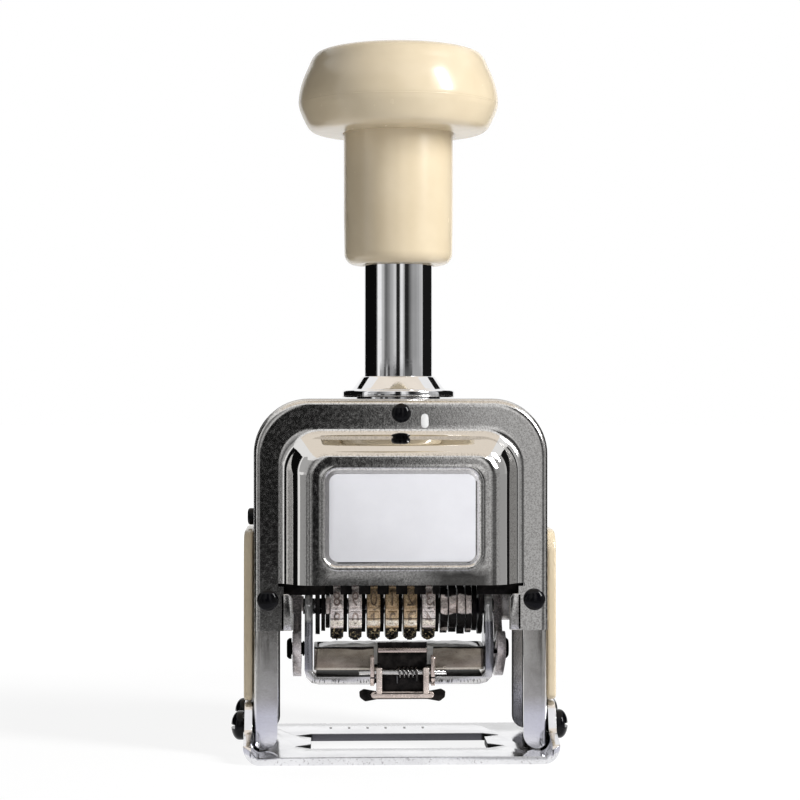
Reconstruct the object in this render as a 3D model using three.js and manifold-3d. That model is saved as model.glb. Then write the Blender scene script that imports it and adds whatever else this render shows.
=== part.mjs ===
// Hand numbering machine: a plunger with six type wheels slides in a stamped frame,
// and its ink pad swings out to the rear as the wheels come down to the paper.
// Lengths are millimetres, angles degrees. +X is right, +Y is rear, +Z is up,
// and the origin is on the standing surface under the plunger axis.

import * as THREE from "three";
import { mergeVertices } from "three/addons/utils/BufferGeometryUtils.js";
import Module from "manifold-3d";

const wasm = await Module();
wasm.setup();

// Running fits and counts used all over
const SEAT_GAP = 0.3;
const RUNNING_GAP = 0.3;
const CUT_OVERRUN = 1;
const MERGE_STEP = 0.00001;
const FINE_SIDES = 28;
const ROUND_SIDES = 18;
const SMALL_SIDES = 10;
const CORNER_STEPS = 3;
const STRAIGHT_ANGLE = 0.001;
const HALF_STEP = 0.5;
const SIDES = [["left", -1], ["right", 1]];
const FACES = [["front", -1], ["rear", 1]];

// Stroke and wheel axis
const PLUNGER_TRAVEL = 24.3;
const WHEEL_AXIS_HEIGHT = 31.8;

// Base plate with turned-up ears
const SHEET_BASE = 1.7;
const BASE_HALF_WIDTH = 34.15;
const BASE_HALF_DEPTH = 24;
const BASE_CORNER_RADIUS = 3;
const BASE_BEND_RADIUS = 3.7;
const EAR_HEIGHT = 11.8;
const EAR_TOP_HALF_DEPTH = 12.5;
const EAR_TOP_RADIUS = 3;
const EAR_ROOT_RADIUS = 2;
const WINDOW_HALF_WIDTH = 19.7;
const WINDOW_FRONT = -12.3;
const WINDOW_REAR = 8.5;
const SPIKE_HALF_WIDTH = 23.3;
const TONGUE_FRONT = -6;
const TONGUE_REAR = 3;

// Base screws
const BASE_SCREW_DEPTH = 10;
const BASE_SCREW_HEIGHT = 6.6;
const BASE_SCREW_HEAD_RADIUS = 3.2;
const BASE_SCREW_HEAD_THICKNESS = 2.75;
const BASE_SCREW_SHANK_RADIUS = 1.6;

// Frame yoke, a strap bent to an arch with flanges turned in along both edges
const SHEET_YOKE = 1.4;
const YOKE_TOP = 78.6;
const YOKE_HALF_DEPTH = 15.5;
const YOKE_CORNER_RADIUS = 12;
const YOKE_FLANGE_WIDTH = 5.2;
const YOKE_FOOT_RADIUS = 3;

// Front and rear covers, stamped shells
const SHEET_COVER = 0.8;
const COVER_HALF_WIDTH = 31.9;
const COVER_TOP = 78.3;
const COVER_FOOT = 28.3;
const COVER_FLANGE_PLANE = 19;
const COVER_SKIRT_DEPTH = 3.2;
const COVER_RIM_RADIUS = 1.3;
const COVER_CORNER_RADIUS = 11.8;
const COVER_FLANGE_WIDTH = 5.1;
const COVER_FACE_INSET = 11.8;
const COVER_FACE_RADIUS = 4.5;
const COVER_RAISE = 6;
const COVER_PANEL_EDGE = 38.6;
const COVER_EAR_TOP = 36.3;
const COVER_EAR_REACH = 3.3;
const COVER_EAR_RADIUS = 1.2;
const COVER_TOP_INSET_SHARE = 1.09;
const COVER_SLOPE_STEPS = 6;
const COVER_RIM_STEPS = 2;
const COVER_CORNER_STEPS = 5;
const RECESS_HALF_WIDTH = 16.75;
const RECESS_BOTTOM = 42.6;
const RECESS_TOP = 63.5;
const RECESS_DEPTH = 0.7;
const RECESS_BEVEL = 0.7;
const RECESS_RADIUS = 2.6;
const PEEPHOLE_X = 5.3;
const PEEPHOLE_HEIGHT = 73.8;
const PEEPHOLE_WIDTH = 1.5;
const PEEPHOLE_LENGTH = 3.6;

// Label plate
const LABEL_MARGIN = 0.3;
const LABEL_THICKNESS = 0.4;
const LABEL_RADIUS = 1.8;

// Cover screws
const COVER_SCREW_X = 28.9;
const COVER_SCREW_HEIGHT = 35;
const COVER_SCREW_HEAD_RADIUS = 2.35;
const TOP_SCREW_DROP = 2.8;
const TOP_SCREW_HEAD_RADIUS = 2.1;
const COVER_SCREW_HEAD_THICKNESS = 1.5;
const COVER_SCREW_SHANK_RADIUS = 1.2;
const DOME_STEPS = 3;
const SCREW_SLOT_WIDTH = 0.7;
const SCREW_SLOT_DEPTH = 0.8;

// Side panels
const PANEL_THICKNESS = 1.9;
const PANEL_HALF_DEPTH = 13;
const PANEL_BOTTOM = 12.3;
const PANEL_TOP = 49.6;
const PANEL_TOP_RADIUS = 5;
const PANEL_FOOT_RADIUS = 1.5;
const PANEL_EDGE_ROUND = 0.6;

// Lock button on the left side
const BUTTON_HEIGHT = 52.1;
const BUTTON_RADIUS = 1.9;
const BUTTON_STAND_OUT = 1.8;
const BUTTON_FLANGE_RADIUS = 3;
const BUTTON_FLANGE_THICKNESS = 1;
const BUTTON_LENGTH = 6;
const BUTTON_DOME = 0.5;

// Plunger tube, its collar and the spring inside
const TUBE_RADIUS = 7.7;
const TUBE_WALL = 1.4;
const TUBE_BOTTOM = 50.8;
const TUBE_TOP = 137.4;
const TUBE_FLOOR = 2.2;
const SPIGOT_RADIUS = 5;
const SPIGOT_LENGTH = 2.6;
const COLLAR_BOTTOM = 53.2;
const COLLAR_WALL = 1.6;
const COLLAR_FLANGE_RADIUS = 12.7;
const COLLAR_FLANGE_THICKNESS = 1.6;
const COLLAR_CONE_HEIGHT = 3.15;
const COLLAR_LIP = 0.4;
const COLLAR_SWEEP_SHARE = 0.2;
const NUT_THICKNESS = 3.4;
const NUT_ACROSS_CORNERS = 26;
const NUT_SIDES = 6;
const CROSS_PIN_RADIUS = 1.3;
const CROSS_PIN_HEIGHT = 57;
const SLOT_END_GAP = 0.4;
const STUD_PLUG_LENGTH = 4;
const STUD_RADIUS = 2.5;
const STUD_REACH = 9;
const RETURN_WIRE_RADIUS = 0.55;
const RETURN_COIL_RADIUS = 4.9;
const RETURN_CURLS = 14;

// Knob and grip sleeve
const KNOB_RADIUS = 22.5;
const KNOB_BOTTOM = 139.6;
const KNOB_HEIGHT = 19.1;
const KNOB_PROFILE_SHARES = [
  [0.77, 0], [0.85, 0.01], [0.905, 0.047], [0.95, 0.11], [0.98, 0.175], [1, 0.314],
  [0.99, 0.4], [0.956, 0.555], [0.907, 0.691], [0.855, 0.822], [0.81, 0.875],
  [0.733, 0.9], [0.356, 0.961], [0, 1],
];
const KNOB_PROFILE_STEPS = 16;
const SLEEVE_RADIUS = 12.3;
const SLEEVE_BOTTOM = 108.7;
const SLEEVE_BOTTOM_RADIUS = 2.7;

// Wheel frame that the plunger carries
const FRAME_HALF_WIDTH = 18.7;
const SHEET_FRAME = 1;
const FRAME_BOTTOM_RADIUS = 6.3;
const FRAME_REAR = 4.7;
const FRAME_TOP_GAP = 0.3;
const FRAME_BRIDGE_THICKNESS = 1.6;
const FRAME_LOBE_FRONT = -10.2;
const FRAME_LOBE_BOTTOM = 35;
const FRAME_LOBE_TOP = 44.2;
const FRAME_NECK_FRONT = -6;
const SHAFT_RADIUS = 1.8;
const SHAFT_HALF_LENGTH = 21.5;
const SPACER_ROD_RADIUS = 1;
const SPACER_ROD_Y = -7;
const SPACER_ROD_HEIGHT = 42.4;
const DETENT_ROD_RADIUS = 1.1;
const DETENT_ROD_Y = -8;
const DETENT_ROD_HEIGHT = 39.2;
const ROD_END_STANDOUT = 0.5;

// Number wheels and their ratchets
const WHEEL_COUNT = 6;
const WHEEL_FACETS = 10;
const WHEEL_FIRST_X = -13.9;
const WHEEL_PITCH = 4.1;
const WHEEL_WIDTH = 2.93;
const WHEEL_APOTHEM = 6.85;
const WHEEL_CHAMFER = 0.25;
const RATCHET_WIDTH = 0.85;
const RATCHET_TIP_RADIUS = 5.9;
const RATCHET_ROOT_RADIUS = 4.9;
const RATCHET_UNDERCUT_SHARE = 0.12;
const HUB_BORE_GAP = 0.25;

// Detent comb in front of the wheels
const COMB_THICKNESS = 0.9;
const COMB_LEFT = -17.2;
const COMB_TOP = 37.8;
const COMB_BOTTOM = 35.2;
const COMB_GAP_WIDTH = 1.6;
const FINGER_THICKNESS = 0.56;
const FINGER_LEAN_SHARE = 0.25;
const FINGER_TIP_GAP = 0.35;
const COMB_KNUCKLE_WALL = 0.9;

// Feed rocker and its pawl comb, behind and above the wheels
const ROCKER_ARM_THICKNESS = 0.9;
const ROCKER_HUB_RADIUS = 5.6;
const ROCKER_BAR_Y = 5;
const ROCKER_BAR_RISE = 11.5;
const ROCKER_BAR_RADIUS = 1.2;
const ROCKER_ARM_END_RADIUS = 2;
const PAWL_KNUCKLE_RADIUS = 2.1;
const PAWL_TIP_ANGLE = 32;
const PAWL_FINGER_WIDTH = 1.5;

// Repeat mechanism on the right end of the shaft
const REPEAT_DISC_COUNT = 4;
const REPEAT_FIRST_X = 9.3;
const REPEAT_DISC_THICKNESS = 1.6;
const REPEAT_DISC_GAP = 0.3;
const REPEAT_RATCHET_TEETH = 12;
const REPEAT_RATCHET_TIP = 6.1;
const REPEAT_RATCHET_ROOT = 5.2;
const REPEAT_CAM_RADIUS = 5.9;
const REPEAT_CAM_NOTCHES = 6;
const REPEAT_CAM_NOTCH_RADIUS = 1.1;
const DROP_CAM_RADIUS = 6.3;
const DROP_CAM_NOTCHES = 3;
const DROP_CAM_NOTCH_RADIUS = 1.6;
const SELECTOR_THICKNESS = 1.2;
const SELECTOR_RADIUS = 6;
const SELECTOR_TAB_REACH = 8.5;
const SELECTOR_TAB_WIDTH = 2.4;
const SELECTOR_TAB_ANGLE = 112;

// Swinging pad carriage
const BRACKET_INNER = 19.3;
const SHEET_BRACKET = 1.8;
const BRACKET_BOTTOM = 14.9;
const BRACKET_BEND_RADIUS = 3.2;
const BRACKET_HALF_DEPTH = 6;
const BRACKET_HUB_RADIUS = 2.6;
const BRACKET_SHOULDER_HEIGHT = 25.4;
const TRAY_BOTTOM = 18.1;
const TRAY_TOP = 23.2;
const TRAY_HALF_DEPTH = 5.6;
const TRAY_WALL = 0.7;
const TRAY_GAP_LEFT = -5.7;
const TRAY_GAP_RIGHT = 7.6;
const TRAY_CORNER_RADIUS = 0.9;
const PAD_TOP = 24;
const PAD_EDGE_ROUND = 0.7;

// Pad clip: ears on the bracket, a pin, a thumb lever and its torsion spring
const CLIP_CENTRE_X = 0.65;
const CLIP_EAR_HALF_SPAN = 6.75;
const CLIP_EAR_THICKNESS = 0.8;
const CLIP_EAR_TOP = 21.6;
const CLIP_EAR_FRONT = -9.2;
const CLIP_PIN_Y = -8.2;
const CLIP_PIN_HEIGHT = 17.9;
const CLIP_PIN_RADIUS = 0.6;
const CLIP_PIN_HALF_LENGTH = 9.7;
const LEVER_HALF_SPAN = 5.5;
const LEVER_SHEET = 0.6;
const LEVER_TOP = 24.3;
const LEVER_CHEEK_TOP = 19.4;
const LEVER_CHEEK_FRONT = -9.2;
const LEVER_CHEEK_CHIN = 15.5;
const LEVER_LIP_HEIGHT = 22.2;
const LEVER_LIP_THICKNESS = 0.9;
const LEVER_LIP_REACH = 1.3;
const THUMB_HALF_WIDTH = 9.6;
const THUMB_TOP = 13.4;
const THUMB_BOTTOM = 11.6;
const THUMB_FRONT = -7.3;
const THUMB_REAR = -3.6;
const THUMB_SHEET = 0.8;
const THUMB_CORNER_RADIUS = 1.6;
const SPRING_WIRE_RADIUS = 0.25;
const SPRING_COIL_RADIUS = 1.15;
const SPRING_CURLS = 4.5;
const SPRING_LEFT = -0.5;
const SPRING_PITCH = 0.95;
const SPRING_REAR_LEG = 2.6;
const SPRING_FRONT_LEG = 1.8;
const CURL_STEPS = 8;
const WIRE_SIDES = 5;

// Links that swing the pad carriage, each slotted for the carriage's rivet
const LINK_PIVOT_Y = 11.2;
const LINK_PIVOT_HEIGHT = 31.35;
const LINK_INNER = 21.9;
const LINK_THICKNESS = 1.9;
const LINK_BOSS_RADIUS = 3.4;
const LINK_RIM = 1.6;
const LINK_SWING = 50;
const PAD_SWING = 112;
const RIVET_Y = 3.6;
const RIVET_HEIGHT = 21.9;
const RIVET_RADIUS = 1.4;
const RIVET_HEAD_RADIUS = 2.45;
const RIVET_HEAD_THICKNESS = 1.1;
const SLOT_SIDE_GAP = 0.35;
const SLOT_STATIONS = 6;
const PIVOT_STUD_RADIUS = 3.95;
const PIVOT_JOURNAL_RADIUS = 1.8;
const PIVOT_SHANK_RADIUS = 2.4;
const PIVOT_SPIGOT_RADIUS = 1.9;

// Places that follow from the sizes above
const YOKE_HALF_WIDTH = BASE_HALF_WIDTH - SHEET_BASE - SEAT_GAP;
const YOKE_FOOT = SHEET_BASE + SEAT_GAP;
const COLLAR_BORE = TUBE_RADIUS + RUNNING_GAP;
const COLLAR_OUTER = COLLAR_BORE + COLLAR_WALL;
const COLLAR_SEAT = YOKE_TOP + SEAT_GAP;
const COLLAR_FLANGE_TOP = COLLAR_SEAT + COLLAR_FLANGE_THICKNESS;
const FRAME_TOP = TUBE_BOTTOM - FRAME_TOP_GAP;
const FRAME_INNER = FRAME_HALF_WIDTH - SHEET_FRAME;
const RATCHET_OFFSET = WHEEL_WIDTH / 2;
const LAST_RATCHET_END = WHEEL_FIRST_X + (WHEEL_COUNT - 1) * WHEEL_PITCH + RATCHET_OFFSET + RATCHET_WIDTH;
const BRACKET_OUTER = BRACKET_INNER + SHEET_BRACKET;
const LINK_OUTER = LINK_INNER + LINK_THICKNESS;
const TRAY_HALF_WIDTH = BRACKET_INNER - SEAT_GAP;
const LEVER_BACK = -TRAY_HALF_DEPTH - SEAT_GAP;

// Finishes: colour, roughness, metalness
const NICKEL = finish("#c9c8c4", 0.22, 1);
const CHROME = finish("#e6e7ea", 0.05, 1);
const BRIGHT_STEEL = finish("#d5d5d3", 0.15, 1);
const BLACK_STEEL = finish("#1c1b1c", 0.35, 0.7);
const CREAM_PLASTIC = finish("#decfb2", 0.25, 0);
const PINK_METAL = finish("#cdb9b0", 0.3, 1);
const BROWN_METAL = finish("#8d7f76", 0.3, 1);
const WHITE_FELT = finish("#efece6", 0.95, 0);
const LABEL_GREY = finish("#c8cbd2", 0.35, 0);

const machine = new THREE.Group();

function finish(color, roughness, metalness) {
  return new THREE.MeshStandardMaterial({ color, roughness, metalness });
}

// Solids from closed geometry, turned to face out

function signedVolume(position, triangles) {
  const a = new THREE.Vector3();
  const b = new THREE.Vector3();
  const c = new THREE.Vector3();
  let total = 0;
  for (let i = 0; i < triangles.length; i += 3) {
    a.fromBufferAttribute(position, triangles[i]);
    b.fromBufferAttribute(position, triangles[i + 1]);
    c.fromBufferAttribute(position, triangles[i + 2]);
    total += a.dot(b.cross(c));
  }
  return total;
}

function solid(geometry) {
  const loose = geometry.index ? geometry.toNonIndexed() : geometry;
  const bare = new THREE.BufferGeometry();
  bare.setAttribute("position", loose.getAttribute("position"));
  const merged = mergeVertices(bare, MERGE_STEP);
  const position = merged.getAttribute("position");
  const index = merged.index.array;
  const triangles = [];
  for (let i = 0; i < index.length; i += 3) {
    const [p, q, r] = [index[i], index[i + 1], index[i + 2]];
    if (p !== q && q !== r && r !== p) triangles.push(p, q, r);
  }
  if (signedVolume(position, triangles) < 0) triangles.reverse();
  const mesh = new wasm.Mesh({
    numProp: 3,
    vertProperties: new Float32Array(position.array),
    triVerts: new Uint32Array(triangles),
  });
  return new wasm.Manifold(mesh);
}

function joined(...solids) {
  return solids.reduce((sum, next) => sum.add(next));
}

function cut(body, ...tools) {
  return tools.reduce((left, tool) => left.subtract(tool), body);
}

function addPart(name, body, material) {
  const data = body.getMesh();
  const geometry = new THREE.BufferGeometry();
  geometry.setAttribute("position", new THREE.BufferAttribute(data.vertProperties, data.numProp));
  geometry.setIndex(new THREE.BufferAttribute(data.triVerts, 1));
  geometry.computeVertexNormals();
  const mesh = new THREE.Mesh(geometry, material);
  mesh.name = name;
  machine.add(mesh);
}

// Outlines

// A polygon of [x, y, corner radius] rows, its corners rounded by arcs.
function outline(corners, steps = CORNER_STEPS) {
  const points = [];
  corners.forEach(([x, y, radius], i) => {
    const corner = new THREE.Vector2(x, y);
    const before = corners[(i + corners.length - 1) % corners.length];
    const after = corners[(i + 1) % corners.length];
    const toBefore = new THREE.Vector2(before[0] - x, before[1] - y).normalize();
    const toAfter = new THREE.Vector2(after[0] - x, after[1] - y).normalize();
    const angle = Math.acos(THREE.MathUtils.clamp(toBefore.dot(toAfter), -1, 1));
    if (!radius || Math.PI - angle < STRAIGHT_ANGLE) {
      points.push(corner);
      return;
    }
    const reach = radius / Math.tan(angle / 2);
    const middle = toBefore.clone().add(toAfter).normalize();
    const centre = corner.clone().addScaledVector(middle, radius / Math.sin(angle / 2));
    const start = corner.clone().addScaledVector(toBefore, reach).sub(centre);
    const turn = Math.PI - angle;
    const way = Math.sign(toBefore.cross(toAfter)) || 1;
    const count = Math.max(1, Math.round((steps * turn) / (Math.PI / 2)));
    for (let k = 0; k <= count; k += 1) {
      points.push(start.clone().rotateAround(new THREE.Vector2(), (-way * turn * k) / count).add(centre));
    }
  });
  return new THREE.Shape(points);
}

function mirroredX(rows) {
  return [...rows, ...rows.map(([x, y, radius]) => [-x, y, radius]).reverse()];
}

function rectangle(x0, x1, y0, y1, radius = 0) {
  return outline([[x0, y0, radius], [x1, y0, radius], [x1, y1, radius], [x0, y1, radius]]);
}

function disc(radius, sides = ROUND_SIDES, x = 0, y = 0) {
  const points = [];
  for (let i = 0; i < sides; i += 1) {
    const angle = ((i + HALF_STEP) / sides) * 2 * Math.PI;
    points.push(new THREE.Vector2(x + radius * Math.cos(angle), y + radius * Math.sin(angle)));
  }
  return new THREE.Shape(points);
}

// A slot with round ends between two points.
function capsule(ax, ay, bx, by, radius, steps = CORNER_STEPS) {
  const heading = Math.atan2(by - ay, bx - ax);
  const points = [];
  const ends = [[bx, by, heading - Math.PI / 2], [ax, ay, heading + Math.PI / 2]];
  for (const [x, y, first] of ends) {
    for (let k = 0; k <= 2 * steps; k += 1) {
      const angle = first + (Math.PI * k) / (2 * steps);
      points.push(new THREE.Vector2(x + radius * Math.cos(angle), y + radius * Math.sin(angle)));
    }
  }
  return new THREE.Shape(points);
}

function ratchet(teeth, tip, root, undercutShare) {
  const step = (2 * Math.PI) / teeth;
  const points = [];
  for (let i = 0; i < teeth; i += 1) {
    const angle = i * step;
    const back = angle + step * undercutShare;
    points.push(new THREE.Vector2(tip * Math.cos(angle), tip * Math.sin(angle)));
    points.push(new THREE.Vector2(root * Math.cos(back), root * Math.sin(back)));
  }
  return new THREE.Shape(points);
}

// Extrusions along an axis: an outline drawn in (x, z) goes along Y, one in (y, z) along X,
// and one in (x, y) along Z.

const AXIS_FRAMES = {
  x: new THREE.Matrix4().makeBasis(
    new THREE.Vector3(0, 1, 0), new THREE.Vector3(0, 0, 1), new THREE.Vector3(1, 0, 0)),
  y: new THREE.Matrix4().makeBasis(
    new THREE.Vector3(1, 0, 0), new THREE.Vector3(0, 0, 1), new THREE.Vector3(0, -1, 0)),
  z: new THREE.Matrix4(),
};

function extrude(shape, axis, from, to) {
  const geometry = new THREE.ExtrudeGeometry(shape, { depth: to - from, bevelEnabled: false });
  geometry.applyMatrix4(AXIS_FRAMES[axis]);
  const start = { x: [from, 0, 0], y: [0, to, 0], z: [0, 0, from] }[axis];
  geometry.translate(...start);
  return solid(geometry);
}

// A plate with both long edges rounded over: its outline is drawn at its outer size.
function rounded(shape, axis, from, to, round) {
  const depth = to - from - 2 * round;
  const geometry = new THREE.ExtrudeGeometry(shape, {
    depth, bevelEnabled: true, bevelThickness: round, bevelSize: round, bevelOffset: -round, bevelSegments: 2,
  });
  geometry.applyMatrix4(AXIS_FRAMES[axis]);
  const start = { x: [from + round, 0, 0], y: [0, to - round, 0], z: [0, 0, from + round] }[axis];
  geometry.translate(...start);
  return solid(geometry);
}

function rod(axis, radius, from, to, u = 0, v = 0, sides = ROUND_SIDES) {
  return extrude(disc(radius, sides, u, v), axis, from, to);
}

function box(x0, x1, y0, y1, z0, z1) {
  return extrude(rectangle(x0, x1, y0, y1), "z", z0, z1);
}

// Revolved solids: rows of [radius, place along the axis], from one end to the other.
function turned(rows, sides = FINE_SIDES) {
  const points = rows.map(([radius, along]) => new THREE.Vector2(radius, along));
  const geometry = new THREE.LatheGeometry(points, sides);
  geometry.rotateX(Math.PI / 2);
  return geometry;
}

// The same rows turned about X, mirrored to the chosen side and moved to a place (y, z).
function turnedAlongX(rows, side, y, z, sides = ROUND_SIDES) {
  const geometry = turned(rows, sides);
  geometry.rotateY((side * Math.PI) / 2);
  geometry.translate(0, y, z);
  return solid(geometry);
}

function turnedAlongY(rows, side, x, z, sides = SMALL_SIDES) {
  const geometry = turned(rows, sides);
  geometry.rotateX((-side * Math.PI) / 2);
  geometry.translate(x, 0, z);
  return solid(geometry);
}

// A domed screw's rows, from its tip to the crown of its head.
function screwRows(seat, headRadius, headThickness, shankRadius, tip) {
  const rows = [[0, tip], [shankRadius, tip], [shankRadius, seat], [headRadius, seat]];
  const wall = headThickness / 3;
  for (let i = 0; i <= DOME_STEPS; i += 1) {
    const angle = (i / DOME_STEPS) * (Math.PI / 2);
    rows.push([headRadius * Math.cos(angle), seat + wall + (headThickness - wall) * Math.sin(angle)]);
  }
  rows[rows.length - 1][0] = 0;
  return rows;
}

// An unbroken round wire through the given points, closed at both ends.
function wire(points, radius, sides) {
  const rings = [];
  const tangents = points.map((p, i) => {
    const next = points[Math.min(i + 1, points.length - 1)];
    const last = points[Math.max(i - 1, 0)];
    return next.clone().sub(last).normalize();
  });
  const side = new THREE.Vector3(0, 0, 1).cross(tangents[0]);
  if (side.length() < STRAIGHT_ANGLE) side.set(1, 0, 0).cross(tangents[0]);
  side.normalize();
  points.forEach((p, i) => {
    side.addScaledVector(tangents[i], -side.dot(tangents[i])).normalize();
    const up = tangents[i].clone().cross(side);
    const ring = [];
    for (let k = 0; k < sides; k += 1) {
      const angle = (k / sides) * 2 * Math.PI;
      ring.push(p.clone().addScaledVector(side, radius * Math.cos(angle))
        .addScaledVector(up, radius * Math.sin(angle)));
    }
    rings.push(ring);
  });
  const triangles = [];
  for (let i = 0; i + 1 < rings.length; i += 1) {
    for (let k = 0; k < sides; k += 1) {
      const m = (k + 1) % sides;
      triangles.push(rings[i][k], rings[i + 1][k], rings[i + 1][m]);
      triangles.push(rings[i][k], rings[i + 1][m], rings[i][m]);
    }
  }
  const last = rings[rings.length - 1];
  for (let k = 1; k + 1 < sides; k += 1) {
    triangles.push(rings[0][0], rings[0][k], rings[0][k + 1]);
    triangles.push(last[0], last[k + 1], last[k]);
  }
  return solid(new THREE.BufferGeometry().setFromPoints(triangles));
}

// The least gap between turns of a wire, measured between points more than a half turn apart.
function leastGap(points, radius, stepsApart) {
  let least = Infinity;
  points.forEach((p, i) => {
    for (let j = i + stepsApart; j < points.length; j += 1) {
      least = Math.min(least, p.distanceTo(points[j]) - 2 * radius);
    }
  });
  return least;
}

// Stamped cover shell: rings of an arch outline lofted through a profile

function archRing(halfWidth, top, radius, y, foot) {
  const ring = [new THREE.Vector3(-halfWidth, y, foot)];
  for (const side of [-1, 1]) {
    for (let k = 0; k <= COVER_CORNER_STEPS; k += 1) {
      const share = side < 0 ? k : COVER_CORNER_STEPS - k;
      const angle = (share / COVER_CORNER_STEPS) * (Math.PI / 2);
      const x = side * (halfWidth - radius + radius * Math.cos(angle));
      ring.push(new THREE.Vector3(x, y, top - radius + radius * Math.sin(angle)));
    }
  }
  ring.push(new THREE.Vector3(halfWidth, y, foot));
  return ring;
}

function loft(rings) {
  const triangles = [];
  const length = rings[0].length;
  rings.forEach((ring, i) => {
    const next = rings[(i + 1) % rings.length];
    for (let k = 0; k + 1 < length; k += 1) {
      triangles.push(ring[k], next[k], next[k + 1]);
      triangles.push(ring[k], next[k + 1], ring[k + 1]);
    }
  });
  for (const [end, clockwise] of [[0, true], [length - 1, false]]) {
    const flat = rings.map((ring) => new THREE.Vector2(ring[end].x, ring[end].y));
    const faces = THREE.ShapeUtils.triangulateShape(flat, []);
    const outward = THREE.ShapeUtils.isClockWise(flat) === clockwise;
    for (const [a, b, c] of faces) {
      const face = [rings[a][end], rings[b][end], rings[c][end]];
      triangles.push(...(outward ? face : face.reverse()));
    }
  }
  return solid(new THREE.BufferGeometry().setFromPoints(triangles));
}

// Rows of [inset, y] on the sheet's outer skin, with its inner skin a sheet's thickness behind.
function thickened(rows, thickness) {
  const inner = rows.map(([inset, y], i) => {
    const before = rows[Math.max(i - 1, 0)];
    const after = rows[Math.min(i + 1, rows.length - 1)];
    const along = new THREE.Vector2(after[0] - before[0], after[1] - before[1]).normalize();
    return [inset - along.y * thickness, y + along.x * thickness];
  });
  return [...rows, ...inner.reverse()];
}

function coverRings(rows, foot) {
  const change = (COVER_CORNER_RADIUS - COVER_FACE_RADIUS) / COVER_FACE_INSET;
  return rows.map(([inset, y]) => archRing(
    COVER_HALF_WIDTH - inset,
    COVER_TOP - inset * COVER_TOP_INSET_SHARE,
    COVER_CORNER_RADIUS - inset * change,
    y,
    foot,
  ));
}

function coverFlange() {
  const rows = [[0, COVER_SKIRT_DEPTH]];
  for (let i = 0; i <= COVER_RIM_STEPS; i += 1) {
    const angle = (i / COVER_RIM_STEPS) * (Math.PI / 2);
    rows.push([COVER_RIM_RADIUS * (1 - Math.cos(angle)), COVER_RIM_RADIUS * (1 - Math.sin(angle))]);
  }
  rows.push([COVER_FLANGE_WIDTH, 0]);
  return loft(coverRings(thickened(rows, SHEET_COVER), COVER_FOOT));
}

function coverSlope() {
  const rows = [[COVER_FLANGE_WIDTH - SHEET_COVER, 0]];
  for (let i = 0; i <= COVER_SLOPE_STEPS; i += 1) {
    const share = i / COVER_SLOPE_STEPS;
    const inset = COVER_FLANGE_WIDTH + share * (COVER_FACE_INSET - COVER_FLANGE_WIDTH);
    rows.push([inset, (-COVER_RAISE * (1 - Math.cos(Math.PI * share))) / 2]);
  }
  rows.push([COVER_FACE_INSET + SHEET_COVER, -COVER_RAISE]);
  return loft(coverRings(thickened(rows, SHEET_COVER), COVER_PANEL_EDGE));
}

// The short ear at the foot of each leg, towards the swing space.
function coverEar(side) {
  const inner = COVER_HALF_WIDTH - COVER_FLANGE_WIDTH;
  const root = side * (inner + SHEET_COVER);
  const tip = side * (inner - COVER_EAR_REACH);
  const plate = outline([
    [root, COVER_FOOT, 0], [tip, COVER_FOOT, 0], [tip, COVER_EAR_TOP, COVER_EAR_RADIUS],
    [root, COVER_EAR_TOP, 0],
  ]);
  return extrude(plate, "y", 0, SHEET_COVER);
}

function coverShell(side) {
  const faceHalf = COVER_HALF_WIDTH - COVER_FACE_INSET;
  const faceTop = COVER_TOP - COVER_FACE_INSET * COVER_TOP_INSET_SHARE;
  const faceOutline = outline(mirroredX([
    [faceHalf, COVER_PANEL_EDGE, 0], [faceHalf, faceTop, COVER_FACE_RADIUS],
  ]), COVER_CORNER_STEPS);
  const face = extrude(faceOutline, "y", -COVER_RAISE, -COVER_RAISE + SHEET_COVER);
  const recessFloor = RECESS_DEPTH + SHEET_COVER - COVER_RAISE;
  const dishOutline = rectangle(
    -RECESS_HALF_WIDTH - SHEET_COVER, RECESS_HALF_WIDTH + SHEET_COVER,
    RECESS_BOTTOM - SHEET_COVER, RECESS_TOP + SHEET_COVER, RECESS_RADIUS + SHEET_COVER);
  const dish = extrude(dishOutline, "y", SHEET_COVER / 2 - COVER_RAISE, recessFloor);
  const shell = joined(coverFlange(), coverSlope(), face, dish, coverEar(-1), coverEar(1));
  return cut(shell, recessTool(), ...coverHoles(side));
}

// The label recess with its sloping rim.
function recessTool() {
  const slope = RECESS_DEPTH + CUT_OVERRUN;
  const spread = (RECESS_BEVEL * slope) / RECESS_DEPTH;
  const floor = [];
  const mouth = [];
  const floorShape = rectangle(
    -RECESS_HALF_WIDTH + RECESS_BEVEL, RECESS_HALF_WIDTH - RECESS_BEVEL,
    RECESS_BOTTOM + RECESS_BEVEL, RECESS_TOP - RECESS_BEVEL, RECESS_RADIUS);
  const mouthShape = rectangle(
    -RECESS_HALF_WIDTH + RECESS_BEVEL - spread, RECESS_HALF_WIDTH - RECESS_BEVEL + spread,
    RECESS_BOTTOM + RECESS_BEVEL - spread, RECESS_TOP - RECESS_BEVEL + spread, RECESS_RADIUS + spread);
  const floorY = RECESS_DEPTH - COVER_RAISE;
  floorShape.getPoints().forEach((p) => floor.push(new THREE.Vector3(p.x, floorY, p.y)));
  mouthShape.getPoints().forEach((p) => mouth.push(new THREE.Vector3(p.x, floorY - slope, p.y)));
  return prismoid(floor, mouth);
}

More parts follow.
